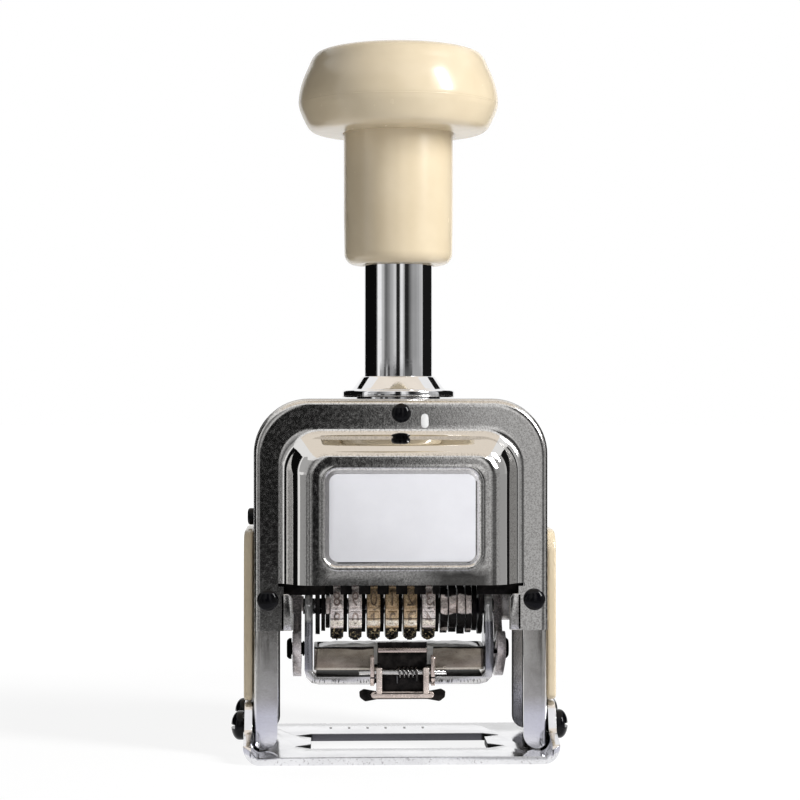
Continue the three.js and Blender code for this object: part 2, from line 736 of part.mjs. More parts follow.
// A solid between two convex outlines with the same number of points.
function prismoid(lower, upper) {
  const triangles = [];
  const count = lower.length;
  for (let i = 0; i < count; i += 1) {
    const k = (i + 1) % count;
    triangles.push(lower[i], lower[k], upper[k]);
    triangles.push(lower[i], upper[k], upper[i]);
  }
  for (let i = 1; i + 1 < count; i += 1) {
    triangles.push(lower[0], lower[i + 1], lower[i]);
    triangles.push(upper[0], upper[i], upper[i + 1]);
  }
  return solid(new THREE.BufferGeometry().setFromPoints(triangles));
}

function coverHoles(side) {
  const holeRadius = COVER_SCREW_SHANK_RADIUS + RUNNING_GAP;
  const [from, to] = [-COVER_RAISE - CUT_OVERRUN, COVER_SKIRT_DEPTH];
  const holes = [
    rod("y", holeRadius, from, to, COVER_SCREW_X, COVER_SCREW_HEIGHT, SMALL_SIDES),
    rod("y", holeRadius, from, to, -COVER_SCREW_X, COVER_SCREW_HEIGHT, SMALL_SIDES),
    rod("y", holeRadius, from, to, 0, COVER_TOP - TOP_SCREW_DROP, SMALL_SIDES),
  ];
  if (side < 0) holes.push(peephole(from, to));
  return holes;
}

function peephole(from, to) {
  const half = (PEEPHOLE_LENGTH - PEEPHOLE_WIDTH) / 2;
  const [low, high] = [PEEPHOLE_HEIGHT - half, PEEPHOLE_HEIGHT + half];
  const shape = capsule(PEEPHOLE_X, low, PEEPHOLE_X, high, PEEPHOLE_WIDTH / 2);
  return extrude(shape, "y", from, to);
}

// A solid drawn for the front, moved out to its plane and mirrored for the rear.
function onFace(body, side, plane) {
  const data = body.getMesh();
  const geometry = new THREE.BufferGeometry();
  const places = new Float32Array(data.vertProperties);
  geometry.setAttribute("position", new THREE.BufferAttribute(places, data.numProp));
  geometry.setIndex(new THREE.BufferAttribute(data.triVerts, 1));
  geometry.translate(0, -plane, 0);
  geometry.scale(1, -side, 1);
  return solid(geometry);
}

// Fixed frame

function buildBase() {
  const bend = BASE_BEND_RADIUS;
  const inside = BASE_HALF_WIDTH - SHEET_BASE;
  const strap = outline([
    [-BASE_HALF_WIDTH, 0, bend], [BASE_HALF_WIDTH, 0, bend], [BASE_HALF_WIDTH, EAR_HEIGHT, 0],
    [inside, EAR_HEIGHT, 0], [inside, SHEET_BASE, bend - SHEET_BASE],
    [-inside, SHEET_BASE, bend - SHEET_BASE], [-inside, EAR_HEIGHT, 0], [-BASE_HALF_WIDTH, EAR_HEIGHT, 0],
  ]);
  const sheet = extrude(strap, "y", -BASE_HALF_DEPTH, BASE_HALF_DEPTH);
  const silhouette = outline(mirroredX([
    [BASE_HALF_DEPTH, 0, 0], [BASE_HALF_DEPTH, bend, EAR_ROOT_RADIUS],
    [EAR_TOP_HALF_DEPTH + EAR_TOP_RADIUS, bend + EAR_ROOT_RADIUS, EAR_ROOT_RADIUS],
    [EAR_TOP_HALF_DEPTH, EAR_HEIGHT, EAR_TOP_RADIUS],
  ]));
  const reach = BASE_HALF_WIDTH + CUT_OVERRUN;
  const plan = rectangle(-reach, reach, -BASE_HALF_DEPTH, BASE_HALF_DEPTH, BASE_CORNER_RADIUS + CUT_OVERRUN);
  const shaped = sheet.intersect(extrude(silhouette, "x", -reach, reach))
    .intersect(extrude(plan, "z", 0, EAR_HEIGHT));
  const spikeFront = (WINDOW_FRONT + TONGUE_FRONT) / 2;
  const spikeRear = (WINDOW_REAR + TONGUE_REAR) / 2;
  const windowOutline = outline(mirroredX([
    [WINDOW_HALF_WIDTH, WINDOW_FRONT, 0], [SPIKE_HALF_WIDTH, spikeFront, 0],
    [WINDOW_HALF_WIDTH, TONGUE_FRONT, 0], [WINDOW_HALF_WIDTH, TONGUE_REAR, 0],
    [SPIKE_HALF_WIDTH, spikeRear, 0], [WINDOW_HALF_WIDTH, WINDOW_REAR, 0],
  ]));
  const opening = extrude(windowOutline, "z", -CUT_OVERRUN, SHEET_BASE + CUT_OVERRUN);
  addPart("base_plate", cut(shaped, opening, ...baseScrewHoles()), BRIGHT_STEEL);
}

function baseScrewHoles() {
  const radius = BASE_SCREW_SHANK_RADIUS + RUNNING_GAP;
  const reach = BASE_HALF_WIDTH + CUT_OVERRUN;
  return FACES.map(([, side]) => rod("x", radius, -reach, reach, side * BASE_SCREW_DEPTH, BASE_SCREW_HEIGHT,
    SMALL_SIDES));
}

function buildBaseScrews() {
  const seat = BASE_HALF_WIDTH + SEAT_GAP;
  const tip = YOKE_HALF_WIDTH - SHEET_YOKE;
  const thickness = BASE_SCREW_HEAD_THICKNESS;
  const rows = screwRows(seat, BASE_SCREW_HEAD_RADIUS, thickness, BASE_SCREW_SHANK_RADIUS, tip);
  for (const [sideName, side] of SIDES) {
    for (const [faceName, face] of FACES) {
      const body = turnedAlongX(rows, side, face * BASE_SCREW_DEPTH, BASE_SCREW_HEIGHT);
      const slotEnd = seat + thickness;
      const ends = [side * (slotEnd - SCREW_SLOT_DEPTH), side * (slotEnd + CUT_OVERRUN)];
      ends.sort((a, b) => a - b);
      const reach = BASE_SCREW_HEAD_RADIUS + CUT_OVERRUN;
      const half = SCREW_SLOT_WIDTH / 2;
      const y = face * BASE_SCREW_DEPTH;
      const slot = box(
        ends[0], ends[1], y - reach, y + reach, BASE_SCREW_HEIGHT - half, BASE_SCREW_HEIGHT + half);
      addPart(`base_screw_${faceName}_${sideName}`, cut(body, slot), BLACK_STEEL);
    }
  }
}

function archOutline(halfWidth, top, radius, foot, footRadius = 0) {
  return outline(mirroredX([[halfWidth, foot, footRadius], [halfWidth, top, radius]]), COVER_CORNER_STEPS);
}

function buildYoke() {
  const depth = YOKE_HALF_DEPTH;
  const heel = BASE_BEND_RADIUS - SHEET_BASE + SEAT_GAP;
  const outer = extrude(
    archOutline(YOKE_HALF_WIDTH, YOKE_TOP, YOKE_CORNER_RADIUS, YOKE_FOOT, heel), "y", -depth, depth);
  const below = YOKE_FOOT - CUT_OVERRUN;
  const bore = extrude(
    archOutline(YOKE_HALF_WIDTH - SHEET_YOKE, YOKE_TOP - SHEET_YOKE, YOKE_CORNER_RADIUS - SHEET_YOKE, below),
    "y", SHEET_YOKE - depth, depth - SHEET_YOKE);
  const mouth = extrude(
    archOutline(YOKE_HALF_WIDTH - YOKE_FLANGE_WIDTH, YOKE_TOP - YOKE_FLANGE_WIDTH,
      YOKE_CORNER_RADIUS - YOKE_FLANGE_WIDTH, below),
    "y", -depth - CUT_OVERRUN, depth + CUT_OVERRUN);
  const collarHole = rod("z", COLLAR_OUTER + RUNNING_GAP, YOKE_TOP - 2 * SHEET_YOKE, YOKE_TOP + CUT_OVERRUN);
  const tools = [bore, mouth, collarHole, ...baseScrewHoles(), peephole(-depth - CUT_OVERRUN, 0)];
  const screwHole = COVER_SCREW_SHANK_RADIUS + RUNNING_GAP;
  const reach = depth + CUT_OVERRUN;
  for (const [x, z] of coverScrewPlaces()) tools.push(rod("y", screwHole, -reach, reach, x, z, SMALL_SIDES));
  const reachX = YOKE_HALF_WIDTH + CUT_OVERRUN;
  tools.push(
    rod("x", PIVOT_SPIGOT_RADIUS + SEAT_GAP, -reachX, reachX, LINK_PIVOT_Y, LINK_PIVOT_HEIGHT, SMALL_SIDES));
  tools.push(rod("x", BUTTON_RADIUS + RUNNING_GAP, -reachX, 0, 0, BUTTON_HEIGHT, ROUND_SIDES));
  for (const [, side] of SIDES) tools.push(footRound(side));
  addPart("frame_yoke", cut(outer, ...tools), NICKEL);
}

// Rounds the inner corner of the flange foot on one side.
function footRound(side) {
  const inner = side * (YOKE_HALF_WIDTH - YOKE_FLANGE_WIDTH);
  const r = YOKE_FOOT_RADIUS;
  const corner = outline([
    [inner - side * CUT_OVERRUN, YOKE_FOOT - CUT_OVERRUN, 0], [inner + side * r, YOKE_FOOT - CUT_OVERRUN, 0],
    [inner + side * r, YOKE_FOOT, 0], [inner, YOKE_FOOT + r, 0],
    [inner - side * CUT_OVERRUN, YOKE_FOOT + r, 0],
  ]);
  const depth = YOKE_HALF_DEPTH + CUT_OVERRUN;
  const keep = rod("y", r, -depth, depth, inner + side * r, YOKE_FOOT + r, FINE_SIDES);
  return cut(extrude(corner, "y", -depth, depth), keep);
}

function coverScrewPlaces() {
  return [
    [-COVER_SCREW_X, COVER_SCREW_HEIGHT], [COVER_SCREW_X, COVER_SCREW_HEIGHT],
    [0, COVER_TOP - TOP_SCREW_DROP],
  ];
}

function buildCovers() {
  for (const [name, side] of FACES) {
    addPart(`${name}_cover`, onFace(coverShell(side), side, COVER_FLANGE_PLANE), NICKEL);
  }
  const half = RECESS_HALF_WIDTH - LABEL_MARGIN - RECESS_BEVEL;
  const low = RECESS_BOTTOM + RECESS_BEVEL + LABEL_MARGIN;
  const high = RECESS_TOP - RECESS_BEVEL - LABEL_MARGIN;
  const back = -COVER_FLANGE_PLANE - COVER_RAISE + RECESS_DEPTH - SEAT_GAP / 2;
  const label = extrude(rectangle(-half, half, low, high, LABEL_RADIUS), "y", back - LABEL_THICKNESS, back);
  addPart("label_plate", label, LABEL_GREY);
}

function buildCoverScrews() {
  const seat = COVER_FLANGE_PLANE + SEAT_GAP;
  const tip = YOKE_HALF_DEPTH - SHEET_YOKE;
  const names = ["left", "right", "top"];
  for (const [faceName, face] of FACES) {
    coverScrewPlaces().forEach(([x, z], i) => {
      const radius = i === 2 ? TOP_SCREW_HEAD_RADIUS : COVER_SCREW_HEAD_RADIUS;
      const rows = screwRows(seat, radius, COVER_SCREW_HEAD_THICKNESS, COVER_SCREW_SHANK_RADIUS, tip);
      addPart(`${faceName}_cover_screw_${names[i]}`, turnedAlongY(rows, face, x, z), BLACK_STEEL);
    });
  }
}

function buildSidePanels() {
  const panel = outline(mirroredX([
    [PANEL_HALF_DEPTH, PANEL_BOTTOM, PANEL_FOOT_RADIUS], [PANEL_HALF_DEPTH, PANEL_TOP, PANEL_TOP_RADIUS],
  ]));
  const inner = YOKE_HALF_WIDTH + SEAT_GAP;
  for (const [name, side] of SIDES) {
    const [from, to] = [side * inner, side * (inner + PANEL_THICKNESS)].sort((a, b) => a - b);
    addPart(`side_panel_${name}`, rounded(panel, "x", from, to, PANEL_EDGE_ROUND), CREAM_PLASTIC);
  }
}

function buildLockButton() {
  const end = YOKE_HALF_WIDTH + BUTTON_STAND_OUT;
  const flangeOut = YOKE_HALF_WIDTH - SHEET_YOKE - SEAT_GAP;
  const flangeIn = flangeOut - BUTTON_FLANGE_THICKNESS;
  const rows = [
    [0, end - BUTTON_LENGTH], [BUTTON_RADIUS, end - BUTTON_LENGTH], [BUTTON_RADIUS, flangeIn],
    [BUTTON_FLANGE_RADIUS, flangeIn], [BUTTON_FLANGE_RADIUS, flangeOut], [BUTTON_RADIUS, flangeOut],
    [BUTTON_RADIUS, end - BUTTON_DOME], [BUTTON_RADIUS - BUTTON_DOME, end], [0, end],
  ];
  addPart("lock_button", turnedAlongX(rows, -1, 0, BUTTON_HEIGHT), BLACK_STEEL);
}

function buildCollar() {
  const top = COLLAR_FLANGE_TOP + COLLAR_CONE_HEIGHT;
  const lip = COLLAR_BORE + COLLAR_LIP;
  const waist = lip + COLLAR_LIP;
  const rows = [
    [COLLAR_BORE, COLLAR_BOTTOM], [COLLAR_OUTER, COLLAR_BOTTOM], [COLLAR_OUTER, COLLAR_SEAT],
    [COLLAR_FLANGE_RADIUS, COLLAR_SEAT], [COLLAR_FLANGE_RADIUS, COLLAR_FLANGE_TOP],
    [COLLAR_OUTER + COLLAR_LIP, COLLAR_FLANGE_TOP],
    [waist + COLLAR_LIP / 2, COLLAR_FLANGE_TOP + COLLAR_CONE_HEIGHT * COLLAR_SWEEP_SHARE],
    [waist, COLLAR_FLANGE_TOP + COLLAR_CONE_HEIGHT / 2], [lip, top], [COLLAR_BORE, top],
    [COLLAR_BORE, COLLAR_BOTTOM],
  ];
  const pinHole = rod("x", CROSS_PIN_RADIUS + SEAT_GAP, -COLLAR_FLANGE_RADIUS, COLLAR_FLANGE_RADIUS,
    0, CROSS_PIN_HEIGHT, SMALL_SIDES);
  addPart("collar", cut(solid(turned(rows)), pinHole), CHROME);
  const nutTop = YOKE_TOP - SHEET_YOKE - SEAT_GAP;
  const nut = extrude(disc(NUT_ACROSS_CORNERS / 2, NUT_SIDES), "z", nutTop - NUT_THICKNESS, nutTop);
  const nutBore = rod(
    "z", COLLAR_OUTER + SEAT_GAP, nutTop - NUT_THICKNESS - CUT_OVERRUN, nutTop + CUT_OVERRUN);
  addPart("collar_nut", cut(nut, nutBore), BRIGHT_STEEL);
  const pin = rod("x", CROSS_PIN_RADIUS, -COLLAR_OUTER, COLLAR_OUTER, 0, CROSS_PIN_HEIGHT,
    SMALL_SIDES);
  addPart("cross_pin", pin, BRIGHT_STEEL);
}

// Return spring inside the tube, from the cross pin up to the handle stud

function buildReturnSpring() {
  const bottom = CROSS_PIN_HEIGHT + CROSS_PIN_RADIUS + SEAT_GAP + RETURN_WIRE_RADIUS;
  const top = TUBE_TOP - STUD_PLUG_LENGTH - SEAT_GAP - RETURN_WIRE_RADIUS;
  const steps = RETURN_CURLS * CURL_STEPS;
  const points = [];
  for (let i = 0; i <= steps; i += 1) {
    const angle = (i / CURL_STEPS) * 2 * Math.PI;
    points.push(new THREE.Vector3(
      RETURN_COIL_RADIUS * Math.cos(angle), RETURN_COIL_RADIUS * Math.sin(angle),
      bottom + ((top - bottom) * i) / steps));
  }
  console.log("return spring least gap", leastGap(points, RETURN_WIRE_RADIUS, CURL_STEPS / 2).toFixed(2));
  addPart("return_spring", wire(points, RETURN_WIRE_RADIUS, WIRE_SIDES), BRIGHT_STEEL);
}

// Plunger: knob, sleeve, tube and wheel frame

function buildHandle() {
  const curve = new THREE.SplineCurve(KNOB_PROFILE_SHARES.map(([r, h]) => new THREE.Vector2(r, h)));
  const rows = curve.getPoints(KNOB_PROFILE_STEPS).map((p) => [
    Math.max(0, p.x) * KNOB_RADIUS, KNOB_BOTTOM + p.y * KNOB_HEIGHT]);
  rows[rows.length - 1][0] = 0;
  rows.unshift([0, KNOB_BOTTOM]);
  const boreTop = TUBE_TOP + STUD_REACH + SEAT_GAP;
  const bore = rod(
    "z", STUD_RADIUS + SEAT_GAP, KNOB_BOTTOM - CUT_OVERRUN, boreTop, 0, 0, SMALL_SIDES);
  addPart("handle_knob", cut(solid(turned(rows)), bore), CREAM_PLASTIC);

  const sleeveTop = KNOB_BOTTOM - SEAT_GAP;
  const inner = TUBE_RADIUS + SEAT_GAP;
  const sleeve = [[inner, SLEEVE_BOTTOM]];
  for (let i = 0; i <= CORNER_STEPS; i += 1) {
    const angle = (i / CORNER_STEPS) * (Math.PI / 2);
    sleeve.push([
      SLEEVE_RADIUS - SLEEVE_BOTTOM_RADIUS * (1 - Math.sin(angle)),
      SLEEVE_BOTTOM + SLEEVE_BOTTOM_RADIUS * (1 - Math.cos(angle)),
    ]);
  }
  sleeve.push([SLEEVE_RADIUS, sleeveTop], [inner, sleeveTop], [inner, SLEEVE_BOTTOM]);
  addPart("grip_sleeve", solid(turned(sleeve)), CREAM_PLASTIC);
}

function buildTube() {
  const bore = TUBE_RADIUS - TUBE_WALL;
  const rows = [
    [0, TUBE_BOTTOM - SPIGOT_LENGTH], [SPIGOT_RADIUS, TUBE_BOTTOM - SPIGOT_LENGTH],
    [SPIGOT_RADIUS, TUBE_BOTTOM],
    [TUBE_RADIUS, TUBE_BOTTOM], [TUBE_RADIUS, TUBE_TOP], [bore, TUBE_TOP], [bore, TUBE_BOTTOM + TUBE_FLOOR],
    [0, TUBE_BOTTOM + TUBE_FLOOR],
  ];
  const half = CROSS_PIN_RADIUS + RUNNING_GAP;
  const low = CROSS_PIN_HEIGHT - SLOT_END_GAP;
  const high = CROSS_PIN_HEIGHT + PLUNGER_TRAVEL + SLOT_END_GAP;
  const cutReach = TUBE_RADIUS + CUT_OVERRUN;
  const slot = extrude(capsule(0, low, 0, high, half), "x", -cutReach, cutReach);
  addPart("plunger_tube", cut(solid(turned(rows)), slot), CHROME);
  const plugTop = TUBE_TOP;
  const plugRadius = bore - SEAT_GAP;
  const studRows = [
    [0, plugTop - STUD_PLUG_LENGTH], [plugRadius, plugTop - STUD_PLUG_LENGTH], [plugRadius, plugTop],
    [STUD_RADIUS, plugTop], [STUD_RADIUS, plugTop + STUD_REACH], [0, plugTop + STUD_REACH],
  ];
  addPart("handle_stud", solid(turned(studRows, ROUND_SIDES)), BRIGHT_STEEL);
}

function frameCheekOutline() {
  const bottom = WHEEL_AXIS_HEIGHT - FRAME_BOTTOM_RADIUS;
  const soft = SHEET_FRAME * 2;
  return outline([
    [-FRAME_BOTTOM_RADIUS, bottom, FRAME_BOTTOM_RADIUS - SHEET_FRAME / 4],
    [FRAME_REAR, bottom, FRAME_REAR - SHEET_FRAME / 4],
    [FRAME_REAR, FRAME_TOP, soft / 2],
    [FRAME_NECK_FRONT, FRAME_TOP, soft],
    [FRAME_NECK_FRONT, FRAME_LOBE_TOP + soft, soft],
    [FRAME_LOBE_FRONT, FRAME_LOBE_TOP, soft],
    [FRAME_LOBE_FRONT, FRAME_LOBE_BOTTOM, soft],
    [-FRAME_BOTTOM_RADIUS, WHEEL_AXIS_HEIGHT, soft],
  ]);
}

function buildWheelFrame() {
  const cheeks = extrude(frameCheekOutline(), "x", -FRAME_HALF_WIDTH, FRAME_HALF_WIDTH);
  const hollowTop = FRAME_TOP - FRAME_BRIDGE_THICKNESS;
  const hollow = box(-FRAME_INNER, FRAME_INNER, FRAME_LOBE_FRONT - CUT_OVERRUN, FRAME_REAR + CUT_OVERRUN,
    WHEEL_AXIS_HEIGHT - FRAME_BOTTOM_RADIUS - CUT_OVERRUN, hollowTop);
  const reach = FRAME_HALF_WIDTH + CUT_OVERRUN;
  const holes = [
    rod("x", SHAFT_RADIUS + SEAT_GAP, -reach, reach, 0, WHEEL_AXIS_HEIGHT, SMALL_SIDES),
    rod("x", SPACER_ROD_RADIUS + SEAT_GAP, -reach, reach, SPACER_ROD_Y, SPACER_ROD_HEIGHT, SMALL_SIDES),
    rod("x", DETENT_ROD_RADIUS + SEAT_GAP, -reach, reach, DETENT_ROD_Y, DETENT_ROD_HEIGHT, SMALL_SIDES),
    rod("z", SPIGOT_RADIUS + SEAT_GAP, hollowTop - CUT_OVERRUN, FRAME_TOP + CUT_OVERRUN),
  ];
  addPart("wheel_frame", cut(cheeks, hollow, ...holes), BLACK_STEEL);
  const rodEnd = FRAME_HALF_WIDTH + ROD_END_STANDOUT;
  const rods = [
    ["wheel_shaft", SHAFT_RADIUS, SHAFT_HALF_LENGTH, 0, WHEEL_AXIS_HEIGHT],
    ["spacer_rod", SPACER_ROD_RADIUS, rodEnd, SPACER_ROD_Y, SPACER_ROD_HEIGHT],
    ["detent_rod", DETENT_ROD_RADIUS, rodEnd, DETENT_ROD_Y, DETENT_ROD_HEIGHT],
  ];
  for (const [name, radius, half, y, z] of rods) {
    addPart(name, rod("x", radius, -half, half, y, z, SMALL_SIDES), BRIGHT_STEEL);
  }
}

// Number wheels, each with its feed ratchet on the right face

function aboutShaft(body) {
  return body.translate([0, 0, WHEEL_AXIS_HEIGHT]);
}

function shaftBore(from, to) {
  return rod("x", SHAFT_RADIUS + HUB_BORE_GAP, from - CUT_OVERRUN, to + CUT_OVERRUN, 0, 0, SMALL_SIDES);
}

function facetedRim(apothem) {
  const points = [];
  for (let i = 0; i < WHEEL_FACETS; i += 1) {
    const angle = ((i + HALF_STEP) / WHEEL_FACETS) * 2 * Math.PI - Math.PI / 2;
    const radius = apothem / Math.cos(Math.PI / WHEEL_FACETS);
    points.push(new THREE.Vector2(radius * Math.cos(angle), radius * Math.sin(angle)));
  }
  return new THREE.Shape(points);
}

function buildNumberWheels() {
  for (let i = 0; i < WHEEL_COUNT; i += 1) {
    const centre = WHEEL_FIRST_X + i * WHEEL_PITCH;
    const [from, to] = [centre - WHEEL_WIDTH / 2, centre + WHEEL_WIDTH / 2];
    const rim = bevelled(facetedRim(WHEEL_APOTHEM), from, to, WHEEL_CHAMFER);
    const teeth = ratchet(WHEEL_FACETS, RATCHET_TIP_RADIUS, RATCHET_ROOT_RADIUS, RATCHET_UNDERCUT_SHARE);
    const wheel = joined(rim, extrude(teeth, "x", to - RATCHET_WIDTH, to + RATCHET_WIDTH));
    const material = i < 2 ? PINK_METAL : BROWN_METAL;
    addPart(`number_wheel_${i + 1}`, aboutShaft(cut(wheel, shaftBore(from, to + RATCHET_WIDTH))), material);
  }
}

function bevelled(shape, from, to, chamfer) {
  const geometry = new THREE.ExtrudeGeometry(shape, {
    depth: to - from - 2 * chamfer, bevelEnabled: true, bevelThickness: chamfer,
    bevelSize: chamfer, bevelOffset: -chamfer, bevelSegments: 1,
  });
  geometry.applyMatrix4(AXIS_FRAMES.x);
  geometry.translate(from + chamfer, 0, 0);
  return solid(geometry);
}

function buildDetentComb() {
  const back = -Math.abs(DETENT_ROD_Y) + COMB_THICKNESS / 2;
  const front = back - COMB_THICKNESS;
  const right = LAST_RATCHET_END;
  const blade = box(COMB_LEFT, right, front, back, COMB_BOTTOM, DETENT_ROD_HEIGHT);
  const knuckleRadius = DETENT_ROD_RADIUS + SEAT_GAP + COMB_KNUCKLE_WALL;
  const knuckle = rod("x", knuckleRadius, COMB_LEFT, right, DETENT_ROD_Y, DETENT_ROD_HEIGHT, SMALL_SIDES);
  let comb = joined(blade, knuckle);
  for (let i = 0; i < WHEEL_COUNT; i += 1) {
    const centre = WHEEL_FIRST_X + i * WHEEL_PITCH;
    const gapLeft = centre - COMB_GAP_WIDTH / 2;
    comb = cut(comb, box(gapLeft, gapLeft + COMB_GAP_WIDTH, front - CUT_OVERRUN, back + CUT_OVERRUN,
      COMB_BOTTOM - CUT_OVERRUN, COMB_TOP));
    comb = joined(comb, detentFinger(centre + RATCHET_OFFSET + RATCHET_WIDTH / 2, back));
  }
  const bore = rod("x", DETENT_ROD_RADIUS + SEAT_GAP, COMB_LEFT - CUT_OVERRUN, right + CUT_OVERRUN,
    DETENT_ROD_Y, DETENT_ROD_HEIGHT, SMALL_SIDES);
  addPart("detent_comb", cut(comb, bore), BLACK_STEEL);
}

// A thin nose that reaches from the comb's blade to a ratchet between two wheels.
function detentFinger(x, back) {
  const reach = RATCHET_TIP_RADIUS + FINGER_TIP_GAP;
  const rise = COMB_BOTTOM + COMB_THICKNESS / 2 - WHEEL_AXIS_HEIGHT;
  const tip = -Math.sqrt(reach * reach - rise * rise);
  const half = FINGER_THICKNESS / 2;
  const thick = COMB_THICKNESS;
  const shape = outline([
    [back - thick, COMB_BOTTOM, 0], [tip, COMB_BOTTOM + thick / 2, 0],
    [tip - thick * FINGER_LEAN_SHARE, COMB_BOTTOM + thick, 0],
    [back, COMB_BOTTOM + 2 * thick, 0], [back - thick, COMB_BOTTOM + 2 * thick, 0],
  ]);
  return extrude(shape, "x", x - half, x + half);
}

// Feed rocker and pawls

function buildFeedRocker() {
  const bar = [ROCKER_BAR_Y, WHEEL_AXIS_HEIGHT + ROCKER_BAR_RISE];
  const armOuter = FRAME_INNER - RUNNING_GAP;
  const armInner = armOuter - ROCKER_ARM_THICKNESS;
  let body = rod("x", ROCKER_BAR_RADIUS, -armOuter, armOuter, ...bar, SMALL_SIDES);
  for (const [, side] of SIDES) {
    const [from, to] = [side * armInner, side * armOuter].sort((a, b) => a - b);
    const hub = rod("x", ROCKER_HUB_RADIUS, from, to, 0, WHEEL_AXIS_HEIGHT);
    const arm = extrude(capsule(0, WHEEL_AXIS_HEIGHT, ...bar, ROCKER_ARM_END_RADIUS), "x", from, to);
    const bore = rod(
      "x", SHAFT_RADIUS + HUB_BORE_GAP, from - CUT_OVERRUN, to + CUT_OVERRUN, 0, WHEEL_AXIS_HEIGHT,
      SMALL_SIDES);
    body = joined(body, cut(joined(hub, arm), bore));
  }
  addPart("feed_rocker", body, BLACK_STEEL);

  const left = WHEEL_FIRST_X - WHEEL_WIDTH / 2;
  const right = LAST_RATCHET_END;
  const knuckle = rod("x", PAWL_KNUCKLE_RADIUS, left, right, ...bar, SMALL_SIDES);
  const bore = rod(
    "x", ROCKER_BAR_RADIUS + SEAT_GAP, left - CUT_OVERRUN, right + CUT_OVERRUN, ...bar, SMALL_SIDES);
  let pawls = knuckle;
  for (let i = 0; i < WHEEL_COUNT; i += 1) {
    const x = WHEEL_FIRST_X + i * WHEEL_PITCH + RATCHET_OFFSET + RATCHET_WIDTH / 2;
    pawls = joined(pawls, pawlFinger(x, bar));
  }
  addPart("feed_pawls", cut(pawls, bore), BRIGHT_STEEL);
}

function pawlFinger(x, [barY, barZ]) {
  const reach = RATCHET_TIP_RADIUS + FINGER_TIP_GAP;
  const angle = THREE.MathUtils.degToRad(PAWL_TIP_ANGLE);
  const tip = [reach * Math.cos(angle), WHEEL_AXIS_HEIGHT + reach * Math.sin(angle)];
  const width = PAWL_FINGER_WIDTH;
  const half = FINGER_THICKNESS / 2;
  const shape = outline([
    [barY - width / 2, barZ, 0], [tip[0], tip[1], 0], [tip[0] + width / 2, tip[1] + width / 2, 0],
    [barY + width, barZ, 0],
  ]);
  return extrude(shape, "x", x - half, x + half);
}

// Repeat mechanism: a ratchet and two cams that turn together, and the selector disc

function notched(radius, notches, notchRadius, from, to) {
  const body = rod("x", radius, from, to, 0, 0, FINE_SIDES);
  const tools = [shaftBore(from, to)];
  for (let i = 0; i < notches; i += 1) {
    const angle = (i / notches) * 2 * Math.PI;
    const [y, z] = [radius * Math.cos(angle), radius * Math.sin(angle)];
    tools.push(rod("x", notchRadius, from - CUT_OVERRUN, to + CUT_OVERRUN, y, z, SMALL_SIDES));
  }
  return cut(body, ...tools);
}

function buildRepeatStack() {
  const step = REPEAT_DISC_THICKNESS + REPEAT_DISC_GAP;
  const starts = [];
  for (let i = 0; i < REPEAT_DISC_COUNT; i += 1) starts.push(REPEAT_FIRST_X + i * step);
  const end = (i) => starts[i] + REPEAT_DISC_THICKNESS;
  const teeth = ratchet(
    REPEAT_RATCHET_TEETH, REPEAT_RATCHET_TIP, REPEAT_RATCHET_ROOT, RATCHET_UNDERCUT_SHARE);
  const ratchetDisc = cut(extrude(teeth, "x", starts[0], end(0)), shaftBore(starts[0], end(0)));
  addPart("repeat_ratchet", aboutShaft(ratchetDisc), BLACK_STEEL);
  const cam = notched(REPEAT_CAM_RADIUS, REPEAT_CAM_NOTCHES, REPEAT_CAM_NOTCH_RADIUS, starts[1], end(1));
  addPart("repeat_cam", aboutShaft(cam), BLACK_STEEL);
  const drop = notched(DROP_CAM_RADIUS, DROP_CAM_NOTCHES, DROP_CAM_NOTCH_RADIUS, starts[2], end(2));
  addPart("drop_cam", aboutShaft(drop), BLACK_STEEL);
  const from = starts.at(-1);
  const to = from + SELECTOR_THICKNESS;
  const angle = THREE.MathUtils.degToRad(SELECTOR_TAB_ANGLE);
  const tabEnd = SELECTOR_TAB_REACH - SELECTOR_TAB_WIDTH / 2;
  const tab = extrude(
    capsule(0, 0, tabEnd * Math.cos(angle), tabEnd * Math.sin(angle), SELECTOR_TAB_WIDTH / 2), "x", from, to);
  const plate = rod("x", SELECTOR_RADIUS, from, to, 0, 0, FINE_SIDES);
  const selector = cut(joined(plate, tab), shaftBore(from, to));
  addPart("repeat_selector", aboutShaft(selector), BRIGHT_STEEL);
}

// Pad carriage

